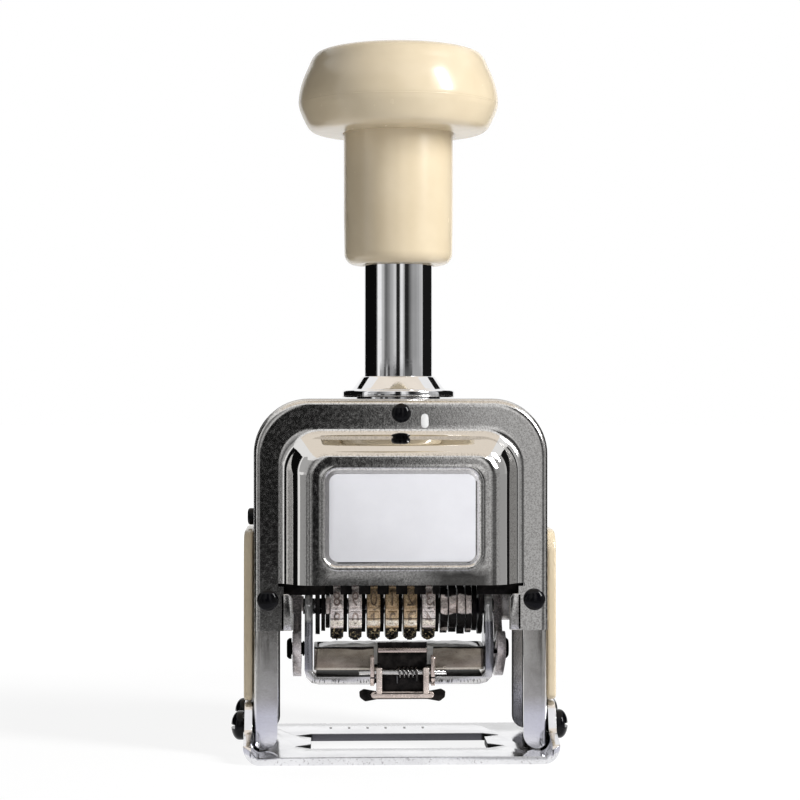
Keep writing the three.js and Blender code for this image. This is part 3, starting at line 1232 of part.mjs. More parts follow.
function buildBracket() {
  const bend = BRACKET_BEND_RADIUS;
  const top = WHEEL_AXIS_HEIGHT + BRACKET_HUB_RADIUS;
  const floor = BRACKET_BOTTOM + SHEET_BRACKET;
  const strap = outline([
    [-BRACKET_OUTER, BRACKET_BOTTOM, bend], [BRACKET_OUTER, BRACKET_BOTTOM, bend], [BRACKET_OUTER, top, 0],
    [BRACKET_INNER, top, 0], [BRACKET_INNER, floor, bend - SHEET_BRACKET],
    [-BRACKET_INNER, floor, bend - SHEET_BRACKET], [-BRACKET_INNER, top, 0], [-BRACKET_OUTER, top, 0],
  ]);
  const half = BRACKET_HALF_DEPTH;
  const silhouette = outline([
    [-half, BRACKET_BOTTOM, 0], [half, BRACKET_BOTTOM, 0], [half, BRACKET_SHOULDER_HEIGHT, bend],
    [BRACKET_HUB_RADIUS, WHEEL_AXIS_HEIGHT, 0], [BRACKET_HUB_RADIUS, top, BRACKET_HUB_RADIUS - SEAT_GAP],
    [-BRACKET_HUB_RADIUS, top, BRACKET_HUB_RADIUS - SEAT_GAP], [-BRACKET_HUB_RADIUS, WHEEL_AXIS_HEIGHT, 0],
    [-half, BRACKET_SHOULDER_HEIGHT, bend],
  ]);
  const reach = BRACKET_OUTER + CUT_OVERRUN;
  let body = extrude(strap, "y", -half, half).intersect(extrude(silhouette, "x", -reach, reach));
  for (const side of [-1, 1]) {
    const x = CLIP_CENTRE_X + side * CLIP_EAR_HALF_SPAN;
    body = joined(body, clipEar(x - CLIP_EAR_THICKNESS / 2, x + CLIP_EAR_THICKNESS / 2));
  }
  const notchHalf = LEVER_HALF_SPAN + LEVER_SHEET;
  const notch = box(CLIP_CENTRE_X - notchHalf, CLIP_CENTRE_X + notchHalf, -half - CUT_OVERRUN,
    THUMB_REAR - RUNNING_GAP, BRACKET_BOTTOM - CUT_OVERRUN, floor + CUT_OVERRUN);
  const shaftHole = rod("x", SHAFT_RADIUS + RUNNING_GAP, -reach, reach, 0, WHEEL_AXIS_HEIGHT, SMALL_SIDES);
  const rivetHole = rod("x", RIVET_RADIUS + SEAT_GAP, -reach, reach, RIVET_Y, RIVET_HEIGHT, SMALL_SIDES);
  const pinHole = rod(
    "x", CLIP_PIN_RADIUS + SEAT_GAP, -reach, reach, CLIP_PIN_Y, CLIP_PIN_HEIGHT, SMALL_SIDES);
  addPart("pad_bracket", cut(body, notch, shaftHole, rivetHole, pinHole), NICKEL);
}

function clipEar(from, to) {
  const root = -BRACKET_HALF_DEPTH + CLIP_EAR_THICKNESS;
  const soft = CLIP_EAR_THICKNESS;
  const neck = -TRAY_HALF_DEPTH - SEAT_GAP;
  const floor = BRACKET_BOTTOM + SHEET_BRACKET;
  const shape = outline([
    [root, BRACKET_BOTTOM, 0], [root, floor, 0], [neck, floor, 0], [neck, CLIP_EAR_TOP, soft],
    [CLIP_EAR_FRONT, CLIP_EAR_TOP, soft], [CLIP_EAR_FRONT, BRACKET_BOTTOM, soft],
  ]);
  return extrude(shape, "x", from, to);
}

function buildTray() {
  const [w, d] = [TRAY_HALF_WIDTH, TRAY_HALF_DEPTH];
  const shell = extrude(rectangle(-w, w, -d, d, TRAY_CORNER_RADIUS), "z", TRAY_BOTTOM, TRAY_TOP);
  const inner = TRAY_WALL;
  const hollow = extrude(
    rectangle(inner - w, w - inner, inner - d, d - inner, TRAY_CORNER_RADIUS - inner / 2), "z",
    TRAY_BOTTOM + inner, TRAY_TOP + CUT_OVERRUN);
  const gap = box(TRAY_GAP_LEFT, TRAY_GAP_RIGHT, -d - CUT_OVERRUN, inner - d + CUT_OVERRUN / 2,
    TRAY_BOTTOM + inner, TRAY_TOP + CUT_OVERRUN);
  addPart("pad_tray", cut(shell, hollow, gap), BROWN_METAL);
  const padW = w - inner - SEAT_GAP;
  const padD = d - inner - SEAT_GAP;
  const pad = rounded(rectangle(-padW, padW, -padD, padD, TRAY_CORNER_RADIUS), "z",
    TRAY_BOTTOM + inner + SEAT_GAP, PAD_TOP, PAD_EDGE_ROUND);
  addPart("felt_pad", pad, WHITE_FELT);
}

function buildClip() {
  const half = CLIP_PIN_HALF_LENGTH;
  const pin = rod(
    "x", CLIP_PIN_RADIUS, CLIP_CENTRE_X - half, CLIP_CENTRE_X + half, CLIP_PIN_Y, CLIP_PIN_HEIGHT,
    SMALL_SIDES);
  addPart("clip_pin", pin, BRIGHT_STEEL);

  const sheet = LEVER_SHEET;
  const [left, right] = [CLIP_CENTRE_X - LEVER_HALF_SPAN, CLIP_CENTRE_X + LEVER_HALF_SPAN];
  const backFront = LEVER_BACK - sheet;
  let lever = box(left, right, backFront, LEVER_BACK, THUMB_BOTTOM + THUMB_SHEET / 2, LEVER_TOP);
  const lip = box(left, right, backFront - LEVER_LIP_REACH, backFront + sheet / 2, LEVER_LIP_HEIGHT,
    LEVER_LIP_HEIGHT + LEVER_LIP_THICKNESS);
  lever = joined(lever, lip);
  for (const x of [left, right - sheet]) {
    const cheek = outline([
      [LEVER_BACK, THUMB_BOTTOM + THUMB_SHEET / 2, 0], [LEVER_BACK, LEVER_CHEEK_TOP, 0],
      [LEVER_CHEEK_FRONT, LEVER_CHEEK_TOP, sheet * 2], [LEVER_CHEEK_FRONT, LEVER_CHEEK_CHIN, sheet * 2],
      [THUMB_FRONT, THUMB_BOTTOM + THUMB_SHEET / 2, 0],
    ]);
    lever = joined(lever, extrude(cheek, "x", x, x + sheet));
  }
  lever = joined(lever, thumbTab());
  const pinHole = rod("x", CLIP_PIN_RADIUS + RUNNING_GAP, left - CUT_OVERRUN, right + CUT_OVERRUN, CLIP_PIN_Y,
    CLIP_PIN_HEIGHT, SMALL_SIDES);
  addPart("clip_lever", cut(lever, pinHole), BLACK_STEEL);
}

// The thumb tab: a plate with a turned-up front edge and wings that droop at both sides.
function thumbTab() {
  const sheet = THUMB_SHEET;
  const profile = outline([
    [THUMB_REAR, THUMB_BOTTOM, sheet / 3], [THUMB_REAR, THUMB_BOTTOM + sheet, sheet / 3],
    [THUMB_FRONT + sheet, THUMB_BOTTOM + sheet, sheet / 3], [THUMB_FRONT + sheet, THUMB_TOP, sheet / 3],
    [THUMB_FRONT, THUMB_TOP, sheet / 3], [THUMB_FRONT, THUMB_BOTTOM, sheet],
  ], 2);
  const [left, right] = [CLIP_CENTRE_X - THUMB_HALF_WIDTH, CLIP_CENTRE_X + THUMB_HALF_WIDTH];
  const plan = rectangle(left, right, THUMB_FRONT, THUMB_REAR, THUMB_CORNER_RADIUS);
  return extrude(profile, "x", left, right).intersect(
    extrude(plan, "z", THUMB_BOTTOM - CUT_OVERRUN, THUMB_TOP + CUT_OVERRUN));
}

function buildClipSpring() {
  const points = [];
  const start = new THREE.Vector3(SPRING_LEFT, CLIP_PIN_Y + SPRING_COIL_RADIUS, CLIP_PIN_HEIGHT);
  points.push(start.clone().add(new THREE.Vector3(0, 0, -SPRING_REAR_LEG)));
  const steps = SPRING_CURLS * CURL_STEPS;
  for (let i = 0; i <= steps; i += 1) {
    const angle = (i / CURL_STEPS) * 2 * Math.PI;
    points.push(new THREE.Vector3(
      SPRING_LEFT + (SPRING_PITCH * i) / CURL_STEPS,
      CLIP_PIN_Y + SPRING_COIL_RADIUS * Math.cos(angle),
      CLIP_PIN_HEIGHT + SPRING_COIL_RADIUS * Math.sin(angle)));
  }
  const last = points[points.length - 1];
  points.push(last.clone().add(new THREE.Vector3(0, 0, -SPRING_FRONT_LEG)));
  console.log("clip spring least gap", leastGap(points, SPRING_WIRE_RADIUS, CURL_STEPS / 2).toFixed(2));
  addPart("clip_spring", wire(points, SPRING_WIRE_RADIUS, WIRE_SIDES), BRIGHT_STEEL);
}

// Links: where the rivet lies in a link's own frame at a share of the stroke

function rivetInLink(share) {
  const arm = new THREE.Vector2(RIVET_Y, RIVET_HEIGHT - WHEEL_AXIS_HEIGHT);
  arm.rotateAround(new THREE.Vector2(), THREE.MathUtils.degToRad(PAD_SWING * share));
  const rivet = arm.add(new THREE.Vector2(0, WHEEL_AXIS_HEIGHT - PLUNGER_TRAVEL * share));
  const pivot = new THREE.Vector2(LINK_PIVOT_Y, LINK_PIVOT_HEIGHT);
  return rivet.rotateAround(pivot, THREE.MathUtils.degToRad(-LINK_SWING * share));
}

function buildLinks() {
  const path = [];
  for (let i = 0; i <= SLOT_STATIONS; i += 1) path.push(rivetInLink(i / SLOT_STATIONS));
  const slotHalf = RIVET_RADIUS + SLOT_SIDE_GAP;
  for (const [name, side] of SIDES) {
    const [from, to] = [side * LINK_INNER, side * LINK_OUTER].sort((a, b) => a - b);
    let plate = rod("x", LINK_BOSS_RADIUS, from, to, LINK_PIVOT_Y, LINK_PIVOT_HEIGHT);
    const near = path[0];
    const neckRadius = LINK_BOSS_RADIUS - SHEET_FRAME / 2;
    const neck = capsule(LINK_PIVOT_Y, LINK_PIVOT_HEIGHT, near.x, near.y, neckRadius);
    plate = joined(plate, extrude(neck, "x", from, to));
    let slot = null;
    for (let i = 0; i < SLOT_STATIONS; i += 1) {
      const [p, q] = [path[i], path[i + 1]];
      plate = joined(plate, extrude(capsule(p.x, p.y, q.x, q.y, slotHalf + LINK_RIM), "x", from, to));
      const piece = extrude(capsule(p.x, p.y, q.x, q.y, slotHalf), "x", from - CUT_OVERRUN, to + CUT_OVERRUN);
      slot = slot ? slot.add(piece) : piece;
    }
    const bore = rod(
      "x", PIVOT_JOURNAL_RADIUS + RUNNING_GAP, from - CUT_OVERRUN, to + CUT_OVERRUN, LINK_PIVOT_Y,
      LINK_PIVOT_HEIGHT, SMALL_SIDES);
    addPart(`pad_link_${name}`, cut(plate, slot, bore), NICKEL);
    addPart(`pad_rivet_${name}`, rivet(side), NICKEL);
    addPart(`link_pivot_${name}`, pivotStud(side), PINK_METAL);
  }
}

function rivet(side) {
  const seat = LINK_OUTER + RUNNING_GAP;
  const flange = [BRACKET_OUTER + SEAT_GAP / 2, LINK_INNER - RUNNING_GAP];
  const rows = [
    [0, BRACKET_INNER], [RIVET_RADIUS, BRACKET_INNER], [RIVET_RADIUS, flange[0]],
    [RIVET_RADIUS + SLOT_SIDE_GAP, flange[0]], [RIVET_RADIUS + SLOT_SIDE_GAP, flange[1]],
    [RIVET_RADIUS, flange[1]], [RIVET_RADIUS, seat], [RIVET_HEAD_RADIUS, seat],
    [RIVET_HEAD_RADIUS, seat + RIVET_HEAD_THICKNESS / 2],
    [RIVET_HEAD_RADIUS - RIVET_HEAD_THICKNESS / 2, seat + RIVET_HEAD_THICKNESS],
    [0, seat + RIVET_HEAD_THICKNESS],
  ];
  return turnedAlongX(rows, side, RIVET_Y, RIVET_HEIGHT, SMALL_SIDES);
}

function pivotStud(side) {
  const shoulder = LINK_OUTER + RUNNING_GAP;
  const shoulderEnd = YOKE_HALF_WIDTH - YOKE_FLANGE_WIDTH - SEAT_GAP;
  const wall = YOKE_HALF_WIDTH - SHEET_YOKE - SEAT_GAP;
  const rows = [
    [0, BRACKET_OUTER + SEAT_GAP], [PIVOT_JOURNAL_RADIUS, BRACKET_OUTER + SEAT_GAP],
    [PIVOT_JOURNAL_RADIUS, shoulder], [PIVOT_STUD_RADIUS, shoulder], [PIVOT_STUD_RADIUS, shoulderEnd],
    [PIVOT_SHANK_RADIUS, shoulderEnd], [PIVOT_SHANK_RADIUS, wall],
    [PIVOT_SPIGOT_RADIUS, wall], [PIVOT_SPIGOT_RADIUS, YOKE_HALF_WIDTH], [0, YOKE_HALF_WIDTH],
  ];
  return turnedAlongX(rows, side, LINK_PIVOT_Y, LINK_PIVOT_HEIGHT);
}

buildBase();
buildBaseScrews();
buildYoke();
buildCovers();
buildCoverScrews();
buildSidePanels();
buildLockButton();
buildCollar();
buildReturnSpring();
buildHandle();
buildTube();
buildWheelFrame();
buildNumberWheels();
buildDetentComb();
buildFeedRocker();
buildRepeatStack();
buildBracket();
buildTray();
buildClip();
buildClipSpring();
buildLinks();

export default machine;
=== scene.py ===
"""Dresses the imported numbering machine: detailed pieces, finishes, lights and camera.

Pieces are drawn in millimetres in the row frame and stored in metres.
Places in the finishes and on the stage are in metres.
+X is right, +Y is rear and +Z is up.
"""

import math

import bmesh
import bpy
from mathutils import Matrix, Vector
from mathutils.geometry import tessellate_polygon


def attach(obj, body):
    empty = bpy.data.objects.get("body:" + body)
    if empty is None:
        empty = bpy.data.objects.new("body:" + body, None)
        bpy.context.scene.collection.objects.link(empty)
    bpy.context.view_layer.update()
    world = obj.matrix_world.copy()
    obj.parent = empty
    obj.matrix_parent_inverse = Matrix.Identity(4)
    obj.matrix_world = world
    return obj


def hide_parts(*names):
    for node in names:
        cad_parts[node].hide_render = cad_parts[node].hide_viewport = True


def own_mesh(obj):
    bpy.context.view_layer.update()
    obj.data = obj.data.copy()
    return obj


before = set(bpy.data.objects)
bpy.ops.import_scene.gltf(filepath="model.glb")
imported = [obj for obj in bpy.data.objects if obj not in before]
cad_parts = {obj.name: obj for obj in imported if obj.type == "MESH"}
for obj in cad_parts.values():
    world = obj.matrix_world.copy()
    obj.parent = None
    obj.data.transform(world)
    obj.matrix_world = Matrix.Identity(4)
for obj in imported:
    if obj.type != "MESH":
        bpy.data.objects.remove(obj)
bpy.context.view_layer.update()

MM = 0.001
SIDES = (("left", -1), ("right", 1))
FACES = (("front", -1), ("rear", 1))


# Node graphs


class Graph:
    """A node tree of a material or the world, with short ways to add the usual nodes."""

    def __init__(self, name, owner=None):
        self.owner = owner or bpy.data.materials.new(name)
        self.owner.use_nodes = True
        self.tree = self.owner.node_tree

    def new(self, kind):
        return self.tree.nodes.new("ShaderNode" + kind)

    def add(self, kind, **inputs):
        node = self.new(kind)
        for key, value in inputs.items():
            self.put(node, key, value)
        return node

    def put(self, node, key, value):
        socket = node.inputs[key]
        if isinstance(value, bpy.types.NodeSocket):
            self.tree.links.new(value, socket)
        else:
            socket.default_value = value

    def place(self):
        return self.add("TexCoord").outputs["Object"]

    def axis(self, name):
        return self.add("SeparateXYZ", Vector=self.place()).outputs[name]

    def away(self, name):
        """Distance from the middle along an axis."""
        return self.sums("ABSOLUTE", self.axis(name), 0)

    def noise(self, size_mm, detail=3.0, stretch=(1, 1, 1), rough=0.55):
        mapping = self.add("Mapping", Vector=self.place(), Scale=stretch)
        return self.add(
            "TexNoise", Vector=mapping.outputs["Vector"], Scale=1 / (size_mm * MM), Detail=detail,
            Roughness=rough).outputs["Fac"]

    def span(self, value, low, high, out_low=0, out_high=1):
        """Rises from out_low to out_high while the value goes from low to high."""
        limits = {"From Min": low, "From Max": high, "To Min": out_low, "To Max": out_high}
        return self.add("MapRange", Value=value, **limits).outputs["Result"]

    def fall(self, value, low, high, start=1):
        return self.span(value, low, high, start, 0)

    def band(self, value, start, full, fade, end):
        """1 from full to fade, and nothing before start and past end."""
        return self.times(self.span(value, start, full), self.fall(value, fade, end))

    def gloss(self, grain, low, high):
        """Roughness from low to high over the grain."""
        return self.span(grain, 0.3, 0.7, low, high)

    def cloud(self, size_mm, detail=4, stretch=(1, 1, 1)):
        return self.span(self.noise(size_mm, detail, stretch), 0.35, 0.65)

    def sums(self, operation, first, *others):
        for value in others:
            node = self.new("Math")
            node.operation = operation
            self.put(node, 0, first)
            self.put(node, 1, value)
            first = node.outputs[0]
        return first

    def times(self, *values):
        return self.sums("MULTIPLY", *values)

    def plus(self, *values):
        return self.sums("ADD", *values)

    def most(self, *values):
        return self.sums("MAXIMUM", *values)

    def blend(self, share, a, b):
        """Goes from colour a to colour b with the share."""
        node = self.new("Mix")
        node.data_type = "RGBA"
        self.put(node, 0, share)
        colours = [i for i, socket in enumerate(node.inputs) if socket.type == "RGBA"]
        for key, value in zip(colours, (a, b)):
            self.put(node, key, (*value, 1) if isinstance(value, tuple) else value)
        return next(s for s in node.outputs if s.type == "RGBA")

    def bump(self, height, strength, depth_mm, below=None):
        node = self.add("Bump", Height=height, Strength=strength, Distance=depth_mm * MM)
        if below is not None:
            self.put(node, "Normal", below)
        return node.outputs["Normal"]

    def surface(self, tint, rough, normal, **inputs):
        for key, value in {"Base Color": tint, "Roughness": rough, "Normal": normal, **inputs}.items():
            self.put(self.tree.nodes["Principled BSDF"], key.replace("_", " "), value)
        return self.owner

    def only(self, shader):
        """Puts the shader in place of the material's own."""
        self.tree.nodes.remove(self.tree.nodes["Principled BSDF"])
        self.put(self.tree.nodes["Material Output"], "Surface", shader)
        return self.owner

    def looked_at(self):
        """1 for rays of the camera and reflections, 0 for those that carry light."""
        path = self.new("LightPath")
        return self.most(*(path.outputs[f"Is {kind} Ray"] for kind in ("Camera", "Glossy", "Transmission")))


# Finishes

LENGTHWISE = (0.05, 1, 1)
UPRIGHT = (1, 1, 0.04)


def metal(name, dark, light, rough, grain=0.35, grain_depth=0.02, brush=(1, 1, 1), scratch=0.5, metallic=1.0):
    """Plated or bare metal: cloudy tint, fine grain, thin scratches along two directions."""
    g = Graph(name)
    fine = g.noise(grain, 2, brush)
    scratches = g.most(
        g.span(g.noise(1.1, 1, LENGTHWISE), 0.67, 0.71), g.span(g.noise(1.3, 1, UPRIGHT), 0.68, 0.72))
    polish = g.plus(g.gloss(fine, *rough), g.times(scratches, 0.12 * scratch))
    normal = g.bump(scratches, scratch * 0.5, 0.01, g.bump(fine, 0.6, grain_depth))
    return g.surface(g.blend(g.cloud(9), dark, light), polish, normal, Metallic=metallic)


def plastic(name, dark, light, rough):
    """Moulded gloss plastic: faint flow clouding, orange peel and hairline rubs."""
    g = Graph(name)
    rubs = g.span(g.noise(1.5, 1, (1, 1, 0.06)), 0.68, 0.72)
    return g.surface(
        g.blend(g.cloud(14, 3), dark, light), g.plus(g.gloss(g.noise(3, 3), *rough), g.times(rubs, 0.02)),
        g.bump(g.noise(1.6, 2), 0.05, 0.05), Coat_Weight=0.25, Coat_Roughness=0.12)


def blackened(name, dark, light, rough, metallic=0.6, shine=0.5):
    """Black oxide steel: oily patches, pinhole grain and rubbed lighter specks."""
    g = Graph(name)
    patch = g.noise(2.2, 4)
    specks = g.span(g.noise(0.5, 2), 0.66, 0.74)
    return g.surface(
        g.blend(g.most(g.span(patch, 0.45, 0.75, 0, 0.6), specks), dark, light), g.gloss(patch, *rough),
        g.bump(g.noise(0.4, 3), 0.3, 0.02), Metallic=metallic, Specular_IOR_Level=shine)


def felt_cloth(name):
    """Damp felt: matted fibres in two sizes, soft sheen and a low glint."""
    g = Graph(name)
    fibres = g.noise(0.28, 6, (1, 0.35, 1), 0.7)
    clumps = g.noise(1.4, 3)
    return g.surface(
        g.blend(g.span(clumps, 0.3, 0.7), (0.86, 0.85, 0.83), (0.95, 0.945, 0.93)), 0.5,
        g.bump(fibres, 0.35, 0.04, g.bump(clumps, 0.3, 0.08)), Specular_IOR_Level=0.9, Sheen_Weight=0.5,
        Sheen_Roughness=0.5, Coat_Weight=0.8, Coat_Roughness=0.12)


def lacquer(name, dark, light):
    """Light lacquered plate with a faint roller texture."""
    g = Graph(name)
    return g.surface(
        g.blend(g.span(g.noise(6, 3), 0.3, 0.7), dark, light), g.gloss(g.noise(0.8, 2), 0.28, 0.36),
        g.bump(g.noise(0.5, 2), 0.08, 0.02))


def bracket_nickel():
    """Bent nickel strap: rougher inside its floor with a painted shadow there, scuffed along its lower edge,
    with a painted highlight at its hubs.
    """
    g = Graph("bracket_nickel")
    height = g.axis("Z")
    hub_from, hub_full = 0.0285, 0.0295
    # Painted shadow on the strap's floor between the arms and along the top of its front edge
    floor_painted_shadow = g.times(g.fall(g.away("X"), 0.0184, 0.0187), g.band(height, 0.01655, 0.01665, 0.0169, 0.017))
    low_edge = g.band(height, 0.0151, 0.0155, 0.0158, 0.0162)
    scuff = g.times(low_edge, g.span(g.noise(0.7, 3, (1, 1, 0.2), 0.8), 0.5, 0.56, 0, 0.85))
    tint = g.blend(g.cloud(5), (0.68, 0.67, 0.67), (0.82, 0.81, 0.81))
    tint = g.blend(g.band(height, 0.0175, 0.0185, hub_from, hub_full), tint, (0.34, 0.34, 0.38))
    tint = g.blend(g.fall(g.axis("Y"), -0.0063, -0.0061), tint, (0.74, 0.62, 0.56))
    # The painted floor shadow and the scuffs on the lower edge get the same near black
    tint = g.blend(g.most(floor_painted_shadow, scuff), tint, (0.02, 0.018, 0.017))
    # Painted highlight: the hubs turn near white, standing in for light on them
    tint = g.blend(g.span(height, hub_from, hub_full), tint, (0.93, 0.93, 0.93))
    fine = g.noise(0.3, 2)
    return g.surface(
        tint, g.plus(g.gloss(fine, 0.14, 0.26), g.times(floor_painted_shadow, 0.5)), g.bump(fine, 0.5, 0.012),
        Metallic=g.span(height, hub_from, hub_full, 0.75, 0.6))


def tray_bronze():
    """Bronzed pad tray: folded sheet with a painted shadow along its rim, long handling clouds and a paler
    foot.
    """
    g = Graph("tray_bronze")
    height = g.axis("Z")
    tint = g.blend(g.cloud(5, 4, (1, 1, 2.5)), (0.3, 0.25, 0.205), (0.5, 0.44, 0.37))
    tint = g.blend(g.fall(height, 0.0186, 0.0212, 0.45), tint, (0.2, 0.165, 0.14))
    tint = g.blend(g.fall(height, 0.0184, 0.0187, 0.9), tint, (0.62, 0.57, 0.5))
    # Painted shadow along the top of the rim, with a wavy lower edge
    rim = g.span(g.plus(height, g.times(g.noise(6, 2), 0.0009)), 0.02315, 0.0233)
    tint = g.blend(rim, tint, (0.02, 0.017, 0.015))
    fine = g.noise(0.5, 2, (1, 1, 6))
    dents = g.bump(g.noise(7, 2), 0.5, 0.35)
    return g.surface(tint, g.gloss(fine, 0.24, 0.4), g.bump(fine, 0.5, 0.015, dents), Metallic=1.0)


def clip_steel():
    """Blackened clip whose lip and cheek edges are rubbed to the warm metal."""
    g = Graph("clip_steel")
    depth = g.axis("Y")
    lip = g.times(g.fall(depth, -0.0065, -0.0064), g.band(g.axis("Z"), 0.02215, 0.02225, 0.0231, 0.0232))
    cheek = g.fall(depth, -0.00905, -0.00885)
    worn = g.times(g.most(lip, cheek), g.span(g.noise(0.8, 3), 0.25, 0.4, 0.7, 1))
    tint = g.blend(g.span(g.noise(2.2, 4), 0.4, 0.7), (0.008, 0.007, 0.007), (0.03, 0.026, 0.025))
    return g.surface(
        g.blend(worn, tint, (0.66, 0.55, 0.5)), g.gloss(g.noise(0.6, 3), 0.16, 0.34),
        g.bump(g.noise(0.4, 3), 0.3, 0.02), Metallic=worn, Specular_IOR_Level=0.06)


def type_metal(name, dark, light, inked):
    """Cast type metal; the facets around the printing place are black with ink and bright worn points, with a
    painted highlight band and a painted shade line above it.
    """
    g = Graph(name)
    height = g.axis("Z")
    tint = g.blend(g.cloud(2.4), dark, light)
    tint = g.blend(g.span(g.noise(1.6, 3), 0.58, 0.64, 0, inked), tint, (0.05, 0.036, 0.03))
    # Painted highlight: edge marks a bright band across the facets a little below the shaft, fixed in height
    edge = g.band(height, 0.0279, 0.0282, 0.0291, 0.0294)
    tint = g.blend(g.times(edge, g.span(g.noise(0.9, 2), 0.4, 0.5, 0.5, 0.95)), tint, (0.98, 0.91, 0.8))
    # Painted shade: a dark line just above the highlight band
    painted_shade_line = g.band(height, 0.0294, 0.0295, 0.0297, 0.0298)
    tint = g.blend(g.times(painted_shade_line, 0.85), tint, (0.03, 0.022, 0.018))
    specks = g.span(g.noise(0.7, 2), 0.56, 0.62)
    inky = g.blend(specks, (0.012, 0.009, 0.008), (0.75, 0.62, 0.38))
    tint = g.blend(g.fall(height, 0.0272, 0.0278), tint, inky)
    fine = g.noise(0.4, 2)
    return g.surface(tint, g.gloss(fine, 0.2, 0.36), g.bump(fine, 0.5, 0.02), Metallic=0.4)


def base_plating():
    """Polished base plating: rougher and darkened with painted shade inside the window, scuffed on the front
    edge.
    """
    g = Graph("base_plating")
    depth, across = g.axis("Y"), g.away("X")
    # inside marks the window's walls and the underside below the top; painted shade there, grey along the long
    # sides and near black at the ends
    inside = g.times(
        g.fall(across, 0.0236, 0.0238), g.fall(g.axis("Z"), 0.00152, 0.0017),
        g.band(depth, -0.0126, -0.0124, 0.0087, 0.0089))
    window = g.blend(g.span(across, 0.0192, 0.0197), (0.14, 0.14, 0.16), (0.01, 0.01, 0.01))
    scuff = g.times(
        g.fall(depth, -0.0237, -0.0234), g.span(g.noise(0.8, 3, rough=0.8), 0.57, 0.63, 0, 0.7))
    tint = g.blend(g.cloud(9), (0.74, 0.74, 0.76), (0.86, 0.86, 0.88))
    tint = g.blend(scuff, g.blend(inside, tint, window), (0.42, 0.4, 0.42))
    fine = g.noise(0.5, 2)
    scratches = g.span(g.noise(1.3, 1, LENGTHWISE), 0.67, 0.71)
    return g.surface(
        tint, g.plus(g.gloss(fine, 0.08, 0.2), g.times(inside, 0.4)),
        g.bump(scratches, 0.25, 0.01, g.bump(fine, 0.6, 0.012)), Metallic=1.0)


def yoke_nickel():
    """Bent frame strip: long rubbed streaks down the legs, a painted pale reflection towards the foot, painted
    shade in the inner corners and on the web's inner face.
    """
    g = Graph("yoke_nickel")
    depth, height, across = g.away("Y"), g.axis("Z"), g.away("X")
    tint = g.blend(g.cloud(7), (0.56, 0.54, 0.52), (0.72, 0.71, 0.69))
    streaks = g.span(g.noise(1.7, 4, (1, 1, 0.09)), 0.5, 0.62, 0, 0.75)
    along = g.times(g.span(height, 0.019, 0.027), g.span(height, 0.036, 0.05, 1, 0.25))
    tint = g.blend(g.times(streaks, along), tint, (0.24, 0.22, 0.205))
    # Painted reflection: the legs turn paler and bluer towards the foot
    tint = g.blend(g.fall(height, 0.0095, 0.0135, 0.9), tint, (0.82, 0.82, 0.88))
    # Painted shade along the inner corners of the flanges and over the inner face of the web
    edges = g.times(
        g.band(depth, 0.0136, 0.0137, 0.0143, 0.0144),
        g.most(g.fall(across, 0.0272, 0.0274), g.span(across, 0.0293, 0.0295)))
    web = g.times(
        g.fall(depth, 0.0139, 0.014), g.fall(across, 0.0308, 0.0311), g.fall(height, 0.055, 0.062))
    tint = g.blend(g.most(edges, web), tint, (0.03, 0.028, 0.026))
    fine = g.noise(0.35, 2)
    scratches = g.span(g.noise(1.3, 1, UPRIGHT), 0.67, 0.71)
    return g.surface(
        tint, g.plus(g.gloss(fine, 0.14, 0.26), g.times(scratches, 0.06)),
        g.bump(scratches, 0.25, 0.01, g.bump(fine, 0.5, 0.015)), Metallic=1.0)


def worn_disc(name):
    """Dark case-hardened disc with a painted warm highlight over a flat and a fainter one at a point below it.
    """
    g = Graph(name)
    height = g.plus(g.axis("Z"), g.times(g.noise(2.5, 2), 0.0022))
    flat_highlight = g.band(height, 0.0316, 0.0319, 0.0356, 0.0359)
    point = g.band(height, 0.0274, 0.0276, 0.0282, 0.0284)
    # Painted highlight: worn here marks the warm lit patches, fixed in height on the front of the disc
    worn = g.times(
        g.fall(g.axis("Y"), -0.0028, -0.0024), g.most(flat_highlight, g.times(point, 0.6)),
        g.span(g.noise(1.2, 3), 0.3, 0.5, 0.6, 1))
    return g.surface(
        g.blend(worn, (0.007, 0.006, 0.006), (0.82, 0.73, 0.69)), g.gloss(g.noise(0.6, 3), 0.2, 0.36),
        g.bump(g.noise(0.4, 3), 0.3, 0.015), Metallic=g.span(worn, 0, 1, 0.1, 0.4), Specular_IOR_Level=0.1)


def cover_nickel():
    """Stamped nickel: satin grain on the flat faces, mirror bright on the drawn slope, worn on the rim."""
    g = Graph("cover_nickel")
    depth, across = g.away("Y"), g.axis("X")
    slope = g.band(depth, 0.01915, 0.0198, 0.0242, 0.0248)
    grain = g.noise(0.36, 3, rough=0.7)
    pits = g.times(g.fall(grain, 0.4, 0.56), g.span(slope, 0, 1, 0.7, 0.05))
    tint = g.blend(pits, (0.73, 0.72, 0.705), (0.38, 0.365, 0.355))
    # A dark patch low on the front face, right of the middle, which darkens its reflection there
    uneven = g.plus(g.axis("Z"), g.times(g.noise(3, 3), 0.003))
    low_dark_patch = g.times(
        g.fall(uneven, 0.0422, 0.0442), g.fall(g.axis("Y"), -0.0232, -0.0225),
        g.span(across, 0.001, 0.009, 0, 0.88), g.fall(across, 0.0175, 0.0205))
    tint = g.blend(low_dark_patch, tint, (0.05, 0.048, 0.046))
    satin = g.span(g.noise(0.9, 3), 0.35, 0.65, 0.08, 0.17)
    rim = g.fall(depth, 0.018, 0.0189)
    polish = g.plus(g.times(satin, g.span(slope, 0, 1, 1.0, 0.25)), g.times(rim, 0.2))
    scratches = g.most(
        g.span(g.noise(1.0, 1, LENGTHWISE), 0.68, 0.71), g.span(g.noise(1.2, 1, UPRIGHT), 0.69, 0.72))
    rough_grain = g.bump(g.times(grain, g.span(slope, 0, 1, 1.0, 0.05)), 0.5, 0.016)
    return g.surface(tint, polish, g.bump(scratches, 0.15, 0.006, rough_grain), Metallic=1.0)


